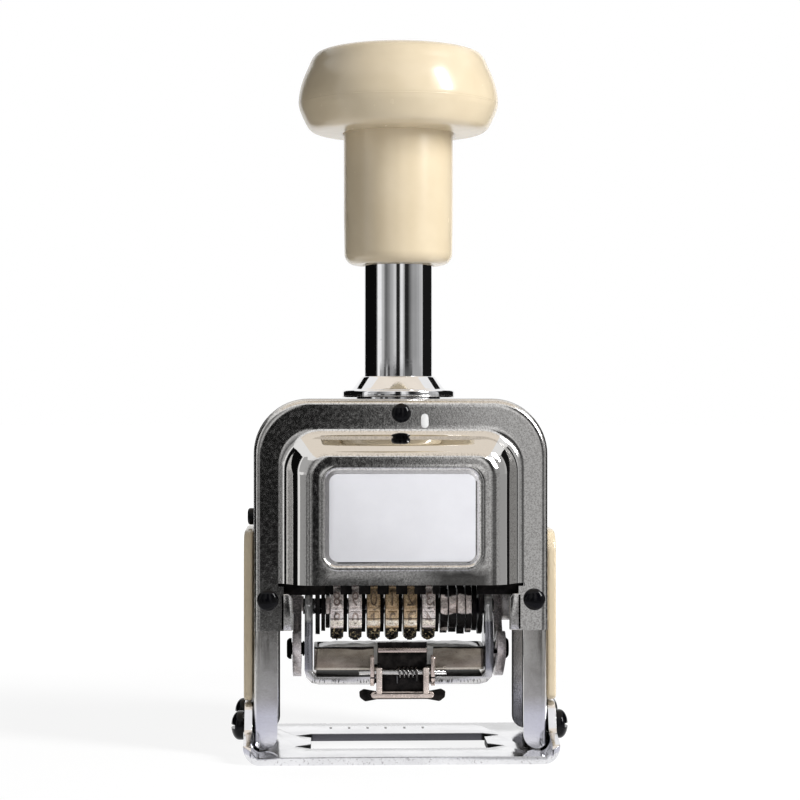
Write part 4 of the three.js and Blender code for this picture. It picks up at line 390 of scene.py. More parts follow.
FINISH = {
    "cover": cover_nickel(),
    "steel": metal("turned_steel", (0.6, 0.59, 0.58), (0.74, 0.73, 0.72), (0.14, 0.26), 0.3, 0.015, (12, 1, 1)),
    "mirror": metal(
        "mirror_chrome", (0.78, 0.78, 0.79), (0.86, 0.86, 0.87), (0.03, 0.07), 1.5, 0.002, scratch=0.2),
    "bracket": bracket_nickel(),
    "pink": type_metal("warm_type_metal", (0.93, 0.81, 0.77), (1.0, 0.94, 0.91), 0.85),
    "pink_raised": type_metal("warm_type_face", (0.24, 0.18, 0.16), (0.5, 0.41, 0.37), 0.95),
    "tan": type_metal("tan_type_metal", (0.5, 0.345, 0.2), (0.76, 0.575, 0.37), 0.7),
    "tan_raised": type_metal("tan_type_face", (0.14, 0.1, 0.07), (0.34, 0.25, 0.17), 0.95),
    # Pivot and link: pale, little metallic colours painted as light on these parts, which sit in the cover's
    # shade
    "pivot": metal("warm_nickel", (0.84, 0.79, 0.78), (0.96, 0.93, 0.92), (0.2, 0.36), 0.4, metallic=0.2),
    "link": metal("link_nickel", (0.6, 0.55, 0.56), (0.88, 0.83, 0.84), (0.18, 0.32), 0.4, metallic=0.4),
    "yoke": yoke_nickel(),
    "base": base_plating(),
    "rubbed": metal("rubbed_edge", (0.6, 0.5, 0.45), (0.84, 0.74, 0.68), (0.18, 0.3), 0.6, 0.004, metallic=0.5),
    "tray": tray_bronze(),
    "clip": clip_steel(),
    "disc": worn_disc("worn_disc"),
    "spring": metal("dark_wire", (0.03, 0.03, 0.03), (0.3, 0.29, 0.28), (0.08, 0.16), 0.5, 0.01),
    "black": blackened("black_oxide", (0.005, 0.0045, 0.0045), (0.026, 0.022, 0.02), (0.22, 0.42), 0.3, 0.06),
    "screw": blackened("black_screw", (0.002, 0.002, 0.003), (0.007, 0.007, 0.007), (0.04, 0.1), 0.0, 0.16),
    "cream": plastic("cream_plastic", (0.68, 0.568, 0.395), (0.74, 0.628, 0.45), (0.2, 0.27)),
    "label": lacquer("label_lacquer", (0.7, 0.7, 0.735), (0.74, 0.74, 0.775)),
    # White lacquer of the peephole plug, a painted glint
    "painted_glint": lacquer("white_painted_glint", (0.8, 0.8, 0.8), (0.9, 0.9, 0.9)),
    "felt": felt_cloth("dry_felt"),
}


# Mesh making


def link_new(name, data):
    made = bpy.data.objects.new(name, data)
    bpy.context.scene.collection.objects.link(made)
    return made


def store(name, bm):
    bmesh.ops.scale(bm, vec=(MM, MM, MM), verts=bm.verts)
    mesh = bpy.data.meshes.new(name)
    bm.to_mesh(mesh)
    bm.free()
    return link_new(name, mesh)


def keep_piece(name, bm):
    bmesh.ops.remove_doubles(bm, verts=bm.verts, dist=0.0002)
    bmesh.ops.recalc_face_normals(bm, faces=bm.faces)
    return store(name, bm)


def bridge(bm, rings, closed=True):
    """Faces between neighbouring rows of points; a row can be one point repeated."""
    for ring, after in zip(rings, rings[1:]):
        for i in range(len(ring) - (not closed)):
            k = (i + 1) % len(ring)
            corners = list(dict.fromkeys((ring[i], ring[k], after[k], after[i])))
            if len(corners) > 2:
                bm.faces.new(corners)


def put(axis, u, v, along):
    """A point drawn at (u, v) and pushed along an axis: x draws in (y, z), y in (x, z), z in (x, y)."""
    return {"x": (along, u, v), "y": (u, along, v), "z": (u, v, along)}[axis]


def polar(radius, angle, u=0, v=0):
    """The point at an angle on a circle about (u, v)."""
    return u + radius * math.cos(angle), v + radius * math.sin(angle)


def quarter(steps, first=0):
    """Angles of a quarter turn."""
    return [math.pi / 2 * i / steps for i in range(first, steps + 1)]


def rounded_path(corners, steps=8):
    """A closed outline through corners (x, y, radius)."""
    points = []
    for i, (x, y, radius) in enumerate(corners):
        if not radius:
            points.append((x, y))
            continue
        corner = Vector((x, y))
        back = (Vector(corners[i - 1][:2]) - corner).normalized()
        ahead = (Vector(corners[(i + 1) % len(corners)][:2]) - corner).normalized()
        half = back.angle(ahead) / 2
        centre = corner + (back + ahead).normalized() * (radius / math.sin(half))
        first, last = (corner + way * (radius / math.tan(half)) - centre for way in (back, ahead))
        turn = math.atan2(first.x * last.y - first.y * last.x, first.dot(last))
        points += [tuple(centre + Matrix.Rotation(turn * k / steps, 2) @ first) for k in range(steps + 1)]
    return points


def mirrored(rows):
    return [*rows, *((-x, y, r) for x, y, r in reversed(rows))]


def ring_points(radius, sides, u=0, v=0, turn=0.0):
    return [polar(radius, turn + 2 * math.pi * i / sides, u, v) for i in range(sides)]


def capsule_points(a, b, radius, steps=12):
    heading = math.atan2(b[1] - a[1], b[0] - a[0])
    return [
        polar(radius, heading + side * math.pi / 2 + math.pi * k / steps, *centre)
        for centre, side in ((a, 1), (b, -1)) for k in range(steps + 1)]


def coil_points(axis, at, radius, start, end, turns):
    """A helix about an axis through at, with 24 points to a turn."""
    count = int(turns * 24)
    return [
        put(axis, *polar(radius, 2 * math.pi * i / 24, *at), start + (end - start) * i / count)
        for i in range(count + 1)]


def prism(outline, axis, start, end, name="tool"):
    bm = bmesh.new()
    low, high = ([bm.verts.new(put(axis, u, v, along)) for u, v in outline] for along in (start, end))
    bm.faces.new(low)
    bm.faces.new(high[::-1])
    bridge(bm, (low, high))
    return keep_piece(name, bm)


def block(x0, x1, y0, y1, z0, z1):
    return prism([(x0, y0), (x1, y0), (x1, y1), (x0, y1)], "z", z0, z1)


def lathe(name, rows, sides=96, axis="z", at=(0, 0), side=1):
    """Turns rows of (radius, along) about an axis through at."""
    bm = bmesh.new()
    rings = []
    for radius, along in rows:
        spots = ring_points(radius, sides, *at) if radius > 1e-6 else [at]
        ring = [bm.verts.new(put(axis, u, v, side * along)) for u, v in spots]
        rings.append(ring if len(ring) > 1 else ring * sides)
    bridge(bm, rings)
    return keep_piece(name, bm)


def rod(radius, start, end, sides=24, axis="x", at=(0, 0), side=1):
    return lathe("tool", [(0, start), (radius, start), (radius, end), (0, end)], sides, axis, at, side)


def tube(name, points, radius, sides=10):
    """A closed wire of round section along points."""
    bm = bmesh.new()
    places = [Vector(p) for p in points]
    last = len(places) - 1
    tangents = [(places[min(i + 1, last)] - places[max(i - 1, 0)]).normalized() for i in range(last + 1)]
    across = tangents[0].orthogonal().normalized()
    rings = []
    for place, along in zip(places, tangents):
        across = (across - along * across.dot(along)).normalized()
        up = along.cross(across)
        rings.append([bm.verts.new(place + u * across + v * up) for u, v in ring_points(radius, sides)])
    bridge(bm, rings)
    bm.faces.new(rings[0])
    bm.faces.new(rings[-1][::-1])
    return keep_piece(name, bm)


def evaluated_mesh(piece):
    bpy.context.view_layer.update()
    return bpy.data.meshes.new_from_object(piece.evaluated_get(bpy.context.evaluated_depsgraph_get()))


def apply_modifiers(piece):
    made = evaluated_mesh(piece)
    piece.modifiers.clear()
    piece.data = made


def carve(piece, *tools, operation="DIFFERENCE"):
    """Cuts the tools out of piece, or keeps only what it shares with them."""
    for tool in tools:
        change = piece.modifiers.new("shape", "BOOLEAN")
        change.object = tool
        change.operation = operation
        change.solver = "EXACT"
    apply_modifiers(piece)
    for tool in tools:
        bpy.data.objects.remove(tool)


def gather(piece, *others):
    """Puts the meshes of others into piece, with their materials."""
    bm = bmesh.new()
    bm.from_mesh(piece.data)
    for source in others:
        start, offset = len(bm.faces), len(piece.data.materials)
        for slot in source.data.materials:
            piece.data.materials.append(slot)
        bm.from_mesh(source.data)
        bm.faces.ensure_lookup_table()
        for face in bm.faces[start:]:
            face.material_index += offset
    bm.to_mesh(piece.data)
    bm.free()
    for source in others:
        bpy.data.objects.remove(source)
    return piece


def paint(piece, finish):
    piece.data.materials.clear()
    piece.data.materials.append(FINISH[finish])
    return piece


def smooth(piece, angle):
    piece.data.polygons.foreach_set("use_smooth", [True] * len(piece.data.polygons))
    piece.data.set_sharp_from_angle(angle=math.radians(angle))
    return piece


def add_bevel(piece, width, segments, angle):
    edge = piece.modifiers.new("edge", "BEVEL")
    edge.width = width * MM
    edge.segments = segments
    edge.limit_method = "ANGLE"
    edge.angle_limit = math.radians(angle)
    return edge


def rounded_edges(piece, width, segments=3, angle=40, smooth_angle=50):
    add_bevel(piece, width, segments, angle).miter_outer = "MITER_ARC"
    apply_modifiers(piece)
    return smooth(piece, smooth_angle)


def dress(piece, body, slot, finish, *nodes, name=None):
    if finish:
        paint(piece, finish)
    if name:
        piece.name = name
    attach(piece, body)
    if nodes:
        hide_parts(*nodes)


def keep_node(name, finish, width):
    """Leaves a CAD node as it is, with its finish and eased edges."""
    node = paint(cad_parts[name], finish)
    for polygon in node.data.polygons:
        polygon.material_index = 0
        polygon.use_smooth = True
    node.modifiers.new("weld", "WELD").merge_threshold = 0.002 * MM
    add_bevel(node, width, 2, 40).harden_normals = True


# Fixed frame: covers, yoke, base, screws and side panels

COVER_HALF = 31.9
COVER_TOP = 78.3
COVER_CORNER = 11.8
FACE_INSET = 11.8
FACE_CORNER = 4.5
FACE_RAISE = 6.0
FLANGE_PLANE = 19.0
FLANGE_WIDTH = 5.1
SHEET = 0.8
PANEL_EDGE = 38.6
COVER_FOOT = 28.3
LEG_LEVELS = (COVER_FOOT, 31.0, 34.0, 36.6, 37.9)
PEEPHOLE = ((5.1, 73.05), (5.1, 74.5))
PEEPHOLE_RADIUS = 0.88
BASE_SCREW_DEPTH, BASE_SCREW_HEIGHT = 10, 6.6
LOCK_AT = (0, 52.1)


def arch_line(half, top, radius, foot, steps=16, sides=6, across=10):
    """Points (x, z) up the left side, over the top and down the right side."""
    left = -half + radius
    points = [(-half, foot + (top - radius - foot) * i / sides) for i in range(sides)]
    points += [polar(radius, math.pi - a, left, top - radius) for a in quarter(steps)]
    rising = points[::-1]
    points += [(left - 2 * left * i / across, top) for i in range(1, across)]
    return points + [(-x, z) for x, z in rising]


def cover_arch(inset):
    change = (COVER_CORNER - FACE_CORNER) / FACE_INSET
    drop = min(inset, 10) * 1.09 + max(inset - 10, 0) * 0.55
    return arch_line(COVER_HALF - inset, COVER_TOP - drop, COVER_CORNER - inset * change, PANEL_EDGE)


def rounded_loop(half_x, low, high, radius, steps=10):
    return rounded_path([
        (half_x, low, radius), (half_x, high, radius), (-half_x, high, radius), (-half_x, low, radius)], steps)


# Inset and tilt in degrees along the drawn wall: hollow foot, steep wall, broad round shoulder
WALL_TILTS = ((5.1, 0), (6.1, 34), (7.3, 60), (8.7, 60), (9.7, 39), (11.4, 29), (12.5, 8), (13.3, 0))
RECESS_HALF, RECESS_LOW, RECESS_HIGH = 16.75, 42.6, 63.5
# How far each loop of the label recess lies outside its outline, and how deep: rolled lip, rim and floor
RECESS = (
    (1.0, 0.0), (0.82, -0.05), (0.62, -0.09), (0.42, -0.09), (0.22, -0.03), (0.05, 0.08), (-0.2, 0.3),
    (-0.45, 0.52), (-0.7, 0.66), (-1.0, 0.7))


def tilt_at(inset):
    for (x0, t0), (x1, t1) in zip(WALL_TILTS, WALL_TILTS[1:]):
        if inset <= x1:
            return math.radians(t0 + (t1 - t0) * (inset - x0) / (x1 - x0))
    return 0.0


def slope_rows(steps=41):
    """(inset, outward) from the flange plane up to the raised face."""
    step = (WALL_TILTS[-1][0] - FLANGE_WIDTH) / steps
    rows = [(FLANGE_WIDTH, 0.0)]
    for i in range(steps):
        rise = math.tan(tilt_at(FLANGE_WIDTH + step * (i + 0.5))) * step
        rows.append((FLANGE_WIDTH + step * (i + 1), rows[-1][1] + rise))
    return [(inset, out * FACE_RAISE / rows[-1][1]) for inset, out in rows]


def make_cover(face, side):
    bm = bmesh.new()

    def line(outward, spots):
        return [bm.verts.new((x, side * (FLANGE_PLANE + outward), z)) for x, z in spots]

    def leg(sign, inset, outward):
        return line(outward, [(sign * (COVER_HALF - inset), z) for z in LEG_LEVELS])

    bend = 1.3
    flange = [(0.0, -3.2), (0.0, -2.2), (0.0, -bend)]
    flange += [(bend * (1 - math.cos(a)), -bend * (1 - math.sin(a))) for a in quarter(6, 1)]
    flange += [(1.5, 0.0), (3.0, 0.0), (FLANGE_WIDTH - 0.4, 0.0)]
    slope = slope_rows()
    grid = [line(out, cover_arch(inset)) for inset, out in (*flange, *slope, (13.6, FACE_RAISE))]
    bridge(bm, grid, closed=False)
    for sign, corner in ((-1, 0), (1, -1)):
        columns = [leg(sign, *row) for row in (*flange, slope[0])]
        # The leg's tongue stands a little further in below the panel edge
        tongue = leg(sign, FLANGE_WIDTH + 1.3, 0)
        bridge(bm, (columns[-1], tongue), closed=False)
        for arch, column in zip(grid, columns):
            column.append(arch[corner])
        bridge(bm, columns, closed=False)
    loops = []
    for grow, sunk in RECESS:
        outline = rounded_loop(RECESS_HALF + grow, RECESS_LOW - grow, RECESS_HIGH + grow, 3 + grow)
        loops.append(line(FACE_RAISE - sunk, outline))
    verts = [*grid[-1], *loops[0]]
    for tri in tessellate_polygon([[v.co.copy() for v in ring] for ring in (grid[-1], loops[0])]):
        bm.faces.new([verts[i] for i in tri])
    bridge(bm, loops)
    bm.faces.new(loops[-1])
    bmesh.ops.recalc_face_normals(bm, faces=bm.faces)
    bm.faces.ensure_lookup_table()
    if bm.faces[-1].normal.y * side < 0:
        bmesh.ops.reverse_faces(bm, faces=bm.faces)
    shell = store(face + "_stamped_cover", bm)
    sheet = shell.modifiers.new("sheet", "SOLIDIFY")
    sheet.thickness = SHEET * MM
    sheet.offset = -1
    apply_modifiers(shell)
    if face == "front":
        carve(shell, prism(capsule_points(*PEEPHOLE, PEEPHOLE_RADIUS), "y", -26, -16))
    ears = []
    for sign in (-1, 1):
        outline = rounded_path([
            (sign * 26.2, COVER_FOOT, 0), (sign * 23.5, COVER_FOOT, 0.3), (sign * 23.5, 36.3, 1.2),
            (sign * 26.2, 36.3, 0)])
        ear = prism(outline, "y", *sorted((side * FLANGE_PLANE, side * (FLANGE_PLANE - SHEET))))
        ears.append(rounded_edges(ear, 0.3))
    smooth(shell, 48)
    gather(shell, *ears)
    dress(shell, "frame", "nickel", "cover", face + "_cover")


for face, side in FACES:
    make_cover(face, side)

# Painted shade: black strips just inside the front cover, standing in for the dark inside of the machine
shade_strips = []
for sign in (-1, 1):
    strip = block(*sorted((sign * 16.6, sign * 26.8)), -16.3, -15.7, 35.8, 39.6)
    shade_strips.append(paint(rounded_edges(strip, 0.15, 2), "black"))
dress(gather(*shade_strips), "frame", "black_steel", None, name="cover_shade_strips")

label = prism(rounded_loop(15.72, 43.62, 62.48, 1.9), "y", -24.9, -24.45, "label_face")
dress(rounded_edges(label, 0.12, 2), "frame", "label_grey", "label", "label_plate")

# A white plug in the peephole, standing in for a bright glint seen there
plug = prism(capsule_points(*PEEPHOLE, PEEPHOLE_RADIUS - 0.04), "y", -18.95, -18.4, "peephole_painted_glint")
dress(rounded_edges(plug, 0.1, 2), "frame", "label_grey", "painted_glint")


def make_yoke():
    half, top, corner, foot = 32.15, 78.6, 12.0, 2.0
    depth, sheet, flange, bend = 15.5, 1.4, 5.2, 1.7
    section = rounded_path([
        (flange, -depth, 0), (0, -depth, bend), (0, depth, bend), (flange, depth, 0),
        (flange, depth - sheet, 0), (sheet, depth - sheet, 0.5), (sheet, sheet - depth, 0.5),
        (flange, sheet - depth, 0)], 5)
    bm = bmesh.new()
    rings = []
    for inset, y in section:
        line = arch_line(half - inset, top - inset, max(corner - inset, 0.5), foot)
        rings.append([bm.verts.new((x, y, z)) for x, z in line])
    bridge(bm, [*rings, rings[0]], closed=False)
    bm.faces.new([ring[0] for ring in rings])
    bm.faces.new([ring[-1] for ring in rings][::-1])
    yoke = keep_piece("yoke_arch", bm)
    tools = [
        rod(9.9, 74, 81, 48, "z"), rod(2.2, -34, -20, 32, at=LOCK_AT),
        prism(capsule_points(*PEEPHOLE, PEEPHOLE_RADIUS), "y", -17, -12)]
    studs = ((11.2, 31.35), (-BASE_SCREW_DEPTH, BASE_SCREW_HEIGHT), (BASE_SCREW_DEPTH, BASE_SCREW_HEIGHT))
    for sign in (-1, 1):
        tools += [rod(2, 20, 36, at=spot, side=sign) for spot in studs]
        # The feet are rounded inside and out
        for edge, radius, inward in ((half - flange, 3, 1), (half, 2.3, -1)):
            arc = [(radius * (1 - math.cos(a)), radius * (1 - math.sin(a))) for a in quarter(8)]
            cut = [(-1, radius), *arc, (radius, -1), (-1, -1)]
            tools.append(prism([(sign * (edge + inward * u), foot + v) for u, v in cut], "y", -17, 17))
    carve(yoke, *tools)
    dress(smooth(yoke, 40), "frame", "nickel", "yoke", "frame_yoke")


make_yoke()


def make_base():
    half, sheet, bend, ear, depth = 34.15, 1.7, 3.7, 11.8, 24.0
    inside = half - sheet
    strap = rounded_path([
        (-half, 0, bend), (half, 0, bend), (half, ear, 0), (inside, ear, 0), (inside, sheet, bend - sheet),
        (-inside, sheet, bend - sheet), (-inside, ear, 0), (-half, ear, 0)], 14)
    plate = prism(strap, "y", -depth, depth, "base_strap")
    silhouette = rounded_path(mirrored([
        (depth, -1, 0), (depth, bend, 2), (15.5, bend + 2, 2), (12.5, ear, 3)]), 10)
    plan = rounded_path([(35.2, -depth, 4), (35.2, depth, 4), (-35.2, depth, 4), (-35.2, -depth, 4)], 12)
    carve(plate, prism(silhouette, "x", -36, 36), prism(plan, "z", -1, 13), operation="INTERSECT")
    window = rounded_path(mirrored([
        (19.7, -12.3, 0.4), (23.3, -9.15, 0.35), (19.7, -6, 0.3), (19.7, 3, 0.3), (23.3, 5.75, 0.35),
        (19.7, 8.5, 0.4)]), 5)
    holes = [rod(1.9, -36, 36, at=(side * BASE_SCREW_DEPTH, BASE_SCREW_HEIGHT)) for side in (-1, 1)]
    carve(plate, prism(window, "z", -2, 3), *holes)
    dress(rounded_edges(plate, 0.28, 3, 35, 40), "frame", "bright_steel", "base", "base_plate")


make_base()

ticks = []
for x in (-15.2, -10.9, -6.6, -2.4, 2.0, 6.3):
    outline = [(x - 0.24, 15.9), (x + 0.24, 15.9), (x + 0.3, 18.1), (x - 0.3, 18.1)]
    ticks.append(paint(prism(outline, "z", 1.62, 1.74), "screw"))
dress(gather(*ticks), "frame", "black_steel", None, name="base_tick_marks")


def make_screw(name, node, axis, at, side, seat, radius, thickness, edge, shank, tip, sides, slot_from=None):
    """A screw with a domed head: crown, short upright edge, under face and shank."""
    rows = [(0, seat + thickness)]
    rows += [(radius * math.sin(a), seat + edge + (thickness - edge) * math.cos(a)) for a in quarter(10, 1)]
    rows += [(radius, seat + 0.12), (radius - 0.12, seat), (shank, seat), (shank, tip), (0, tip)]
    screw = lathe(name, rows, sides, axis, at, side)
    if slot_from:
        y, z = at
        slot_half = 0.42
        carve(screw, block(*sorted((side * slot_from, side * 39)), y - 4, y + 4, z - slot_half, z + slot_half))
    dress(smooth(screw, 40), "frame", "black_steel", "screw", node)


BASE_SCREW = {
    "seat": 34.45, "radius": 3.2, "thickness": 2.75, "edge": 0.9, "shank": 1.6, "tip": 30.75, "sides": 48,
    "slot_from": 36.3}
COVER_SCREW = {"seat": 19.3, "thickness": 1.5, "edge": 0.35, "shank": 1.2, "tip": 14.1, "sides": 40}

for name, sign in SIDES:
    for face, side in FACES:
        at = (side * BASE_SCREW_DEPTH, BASE_SCREW_HEIGHT)
        make_screw(f"slotted_screw_{face}_{name}", f"base_screw_{face}_{name}", "x", at, sign, **BASE_SCREW)

for face, side in FACES:
    for name, x, z, radius in (("left", -28.9, 35, 2.35), ("right", 28.9, 35, 2.35), ("top", 0, 75.5, 2.1)):
        make_screw(
            f"dome_screw_{face}_{name}", f"{face}_cover_screw_{name}", "y", (x, z), side, radius=radius,
            **COVER_SCREW)

for name, sign in SIDES:
    outline = rounded_path(mirrored([(13, 12.3, 1.5), (13, 49.6, 5)]), 12)
    panel = prism(outline, "x", *sorted((sign * 32.45, sign * 34.35)), f"moulded_panel_{name}")
    rounded_edges(panel, 0.55, 4, 50, 60)
    dress(panel, "frame", "cream_plastic", "cream", f"side_panel_{name}")

button = lathe("lock_push_button", [
    (0, 27.95), (1.9, 27.95), (1.9, 29.45), (3, 29.45), (3, 30.45), (1.9, 30.45), (1.9, 33.3), (1.82, 33.6),
    (1.6, 33.82), (1.2, 33.93), (0, 33.95)], 40, "x", LOCK_AT, -1)
dress(smooth(button, 40), "lock_button", "black_steel", "screw", "lock_button")


# Collar, tube, spring and handle

collar = lathe("turned_collar", [
    (8.0, 53.2), (9.6, 53.2), (9.6, 78.9), (12.45, 78.9), (12.65, 79.05), (12.7, 79.3), (12.7, 80.1),
    (12.6, 80.35), (12.35, 80.5), (10.9, 80.5), (10.55, 80.6), (10.3, 80.85), (8.4, 83.35), (8.25, 83.55),
    (8.1, 83.6), (8.0, 83.5), (8.0, 53.2)])
carve(collar, rod(1.6, -14, 14, at=(0, 57)))
dress(smooth(collar, 40), "frame", "mirror_chrome", "mirror", "collar")

shaft_tube = lathe("polished_tube", [
    (0, 48.2), (5, 48.2), (5, 50.8), (7.5, 50.8), (7.7, 51.0), (7.7, 137.2), (7.5, 137.4), (6.3, 137.4),
    (6.3, 53), (0, 53)])
carve(shaft_tube, prism(capsule_points((0, 56.6), (0, 81.7), 1.6), "x", -9, 9))
dress(smooth(shaft_tube, 40), "plunger", "mirror_chrome", "mirror", "plunger_tube")

spring = smooth(tube("wound_return_spring", coil_points("z", (0, 0), 4.9, 59.15, 132.55, 14), 0.55), 60)
dress(spring, "frame", "bright_steel", "steel", "return_spring")
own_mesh(spring)

KNOB = (
    (13.5, 138.25), (16.0, 138.35), (18.0, 138.5), (19.2, 138.8), (20.1, 139.45), (20.75, 140.4),
    (21.3, 141.5), (21.8, 142.6), (22.2, 143.6), (22.4, 144.45), (22.47, 144.7), (22.42, 144.82),
    (22.47, 144.94), (22.48, 145.7), (22.35, 147.0), (22.0, 148.7), (21.5, 150.3), (20.9, 151.8),
    (20.35, 153.0), (19.85, 154.2), (19.3, 155.2), (18.6, 156.0), (17.6, 156.5), (16.2, 156.85),
    (13.0, 157.3), (9.0, 157.85), (5.0, 158.35), (2.5, 158.6), (0, 158.7))


def curve_through(points, steps=4):
    """A smooth line through points (radius, height)."""
    made = []
    for i in range(len(points) - 1):
        p0, p1, p2, p3 = (Vector(points[min(max(i + k, 0), len(points) - 1)]) for k in (-1, 0, 1, 2))
        for t in (j / steps for j in range(steps)):
            made.append(tuple(0.5 * (
                2 * p1 + (p2 - p0) * t + (2 * p0 - 5 * p1 + 4 * p2 - p3) * t * t
                + (3 * p1 - p0 - 3 * p2 + p3) * t ** 3)))
    return [*((max(r, 0), h) for r, h in made), points[-1]]


knob = lathe("moulded_knob", [
    (0, 147.0), (2.8, 147.0), (2.8, 139.6), (12.4, 139.6), (12.4, 138.5), (12.65, 138.25), (13.0, 138.2),
    *curve_through(KNOB)], 144)
dress(smooth(knob, 50), "plunger", "cream_plastic", "cream", "handle_knob")

sleeve = lathe("moulded_sleeve", [
    (8.0, 108.9), (8.2, 108.7), (9.6, 108.7),
    *((12.15 - 2.55 * (1 - math.sin(a)), 111.3 - 2.6 * math.cos(a)) for a in quarter(12)),
    (12.3, 120), (12.3, 139.2), (12.2, 139.3), (8.0, 139.3), (8.0, 108.9)], 112)
dress(smooth(sleeve, 40), "plunger", "cream_plastic", "cream", "grip_sleeve")


# Type wheels

WHEEL_AXIS = 31.8
WHEEL_HALF = 1.465
WHEEL_PITCH = 4.1
FIRST_WHEEL = -13.9
APOTHEM = 6.85
FIGURE_RAISE = 0.16
WHEEL_FINISHES = ("pink", "pink", "tan", "tan", "tan", "pink")


def figure(text, height):
    """A flat outline of one generic figure, about the given height, centred."""
    curve = bpy.data.curves.new("figure", "FONT")
    curve.body = text
    curve.size = height * 1.38
    curve.align_x = "CENTER"
    curve.align_y = "CENTER"
    curve.extrude = FIGURE_RAISE
    curve.resolution_u = 3
    source = link_new("figure", curve)
    mesh = evaluated_mesh(source)
    bpy.data.objects.remove(source)
    middle = [(min(v.co[i] for v in mesh.vertices) + max(v.co[i] for v in mesh.vertices)) / 2 for i in (0, 1)]
    mesh.transform(Matrix.Translation((-middle[0], -middle[1], 0)))
    return mesh


FIGURES = [figure(str(n), 3.3) for n in range(10)]


def toothed(teeth, tip, root, undercut=0.12):
    step = 2 * math.pi / teeth
    points = []
    for i in range(teeth):
        points.append(polar(tip, step * i))
        for share in (undercut, 0.4, 0.7):
            reach = root + (tip - root) * (share - undercut) / (1 - undercut)
            points.append(polar(reach, step * (i + share)))
    return points


def wheel_part(outline, x, left, right, smooth_angle, finish, edge=0.0):
    """A slice of the wheel at x, with the shaft's bore."""
    part = prism([(y, z + WHEEL_AXIS) for y, z in outline], "x", left, right)
    if edge:
        rounded_edges(part, edge, 2, 25, 25)
    reach = WHEEL_HALF + 2
    carve(part, rod(2.05, x - reach, x + reach, at=(0, WHEEL_AXIS)))
    return paint(smooth(part, smooth_angle), finish)


def make_wheel(number, x, finish):
    right = x + WHEEL_HALF
    facet_turn = math.pi / 10
    rim = ring_points(APOTHEM / math.cos(facet_turn), 10, turn=facet_turn - math.pi / 2)
    parts = [
        wheel_part(rim, x, x - WHEEL_HALF, right, 25, finish, 0.22),
        wheel_part(toothed(10, 5.9, 4.9), x, right, right + 0.85, 30, "black")]
    for facet in range(10):
        # Local axes of a facet: across runs along the wheel's axis, out is its outward normal
        out = Vector((0, *polar(1, 2 * math.pi * facet / 10 - math.pi / 2)))
        across = Vector((1, 0, 0))
        centre = Vector((x, 0, WHEEL_AXIS)) + out * (APOTHEM + 0.3)
        turned = Matrix((across, out.cross(across), out)).transposed().to_4x4()
        land = rounded_edges(block(-1.12, 1.12, -1.72, 1.72, -0.5, 0.02), 0.12, 2)
        land.data.transform(Matrix.Translation(centre * MM) @ turned)
        mesh = FIGURES[(facet + number) % 10].copy()
        # Figures read backwards on the wheel, so that they print the right way round
        mesh.transform(Matrix.Diagonal((-0.78 * MM, MM, MM, 1)))
        mesh.transform(Matrix.Translation((centre + out * (FIGURE_RAISE + 0.01)) * MM) @ turned)
        mesh.flip_normals()
        parts += [paint(land, finish), paint(link_new("figure", mesh), finish + "_raised")]
    dress(
        gather(*parts), f"wheel_{number}", "type_metal", None, f"number_wheel_{number}",
        name=f"type_wheel_{number}")


spacer = lathe("wheel_spacer", [
    (2.0, -16.42), (4.7, -16.42), (4.9, -16.25), (4.9, -15.62), (4.7, -15.45), (2.0, -15.45), (2.0, -16.42)],
    48, "x", (0, WHEEL_AXIS))
dress(smooth(spacer, 40), "plunger", "black_steel", "disc")

for i, finish in enumerate(WHEEL_FINISHES):
    make_wheel(i + 1, FIRST_WHEEL + WHEEL_PITCH * i, finish)


# Mechanism inside, kept from the CAD with finishes and eased edges

for name, finish, width in (
    ("collar_nut", "steel", 0.3), ("cross_pin", "steel", 0.15), ("handle_stud", "steel", 0.2),
    ("wheel_frame", "black", 0.15), ("wheel_shaft", "steel", 0.2), ("spacer_rod", "steel", 0.15),
    ("detent_rod", "steel", 0.15), ("detent_comb", "black", 0.08), ("feed_rocker", "black", 0.12),
    ("feed_pawls", "steel", 0.06), ("repeat_ratchet", "disc", 0.1), ("repeat_cam", "disc", 0.12),
    ("drop_cam", "disc", 0.12), ("repeat_selector", "disc", 0.12), ("clip_pin", "steel", 0.1),
    ("pad_tray", "tray", 0.15), ("pad_bracket", "bracket", 0.25),
    ("pad_link_left", "link", 0.15), ("pad_link_right", "link", 0.15),
    ("pad_rivet_left", "screw", 0.12), ("pad_rivet_right", "screw", 0.12),
    ("link_pivot_left", "pivot", 0.2), ("link_pivot_right", "pivot", 0.2),
):
    keep_node(name, finish, width)


# Felt pad


def make_felt():
    """A crowned pad that bulges over the tray's rim and sags at its corners."""
    half_x, half_y, low, high = 17.9, 4.55, 19.2, 23.7
    columns, rows = 72, 20
    bm = bmesh.new()

    def point(u, v):
        edge = max(abs(u) ** 8, abs(v) ** 5)
        wave = 0.05 * math.sin(u * 17 + v * 3) + 0.04 * math.sin(u * 41 - v * 5)
        x = half_x * u * (1 - 0.012 * abs(v) ** 6)
        y = half_y * v * (1 - 0.03 * abs(u) ** 12)
        return bm.verts.new((x, y, high - 0.75 * edge + wave * (1 - edge)))

    top = [[point(2 * i / columns - 1, 2 * j / rows - 1) for j in range(rows + 1)] for i in range(columns + 1)]
    bridge(bm, top, closed=False)
    wall = bmesh.ops.extrude_edge_only(bm, edges=[e for e in bm.edges if e.is_boundary])
    for part in wall["geom"]:
        if isinstance(part, bmesh.types.BMVert):
            part.co.z = low
    bmesh.ops.contextual_create(bm, geom=[e for e in bm.edges if e.is_boundary])
    felt = smooth(keep_piece("matted_felt_pad", bm), 70)
    dress(felt, "pad_carriage", "felt", "felt", "felt_pad")


make_felt()


# Clip lever and its spring

CLIP_PIN = (-8.2, 17.9)


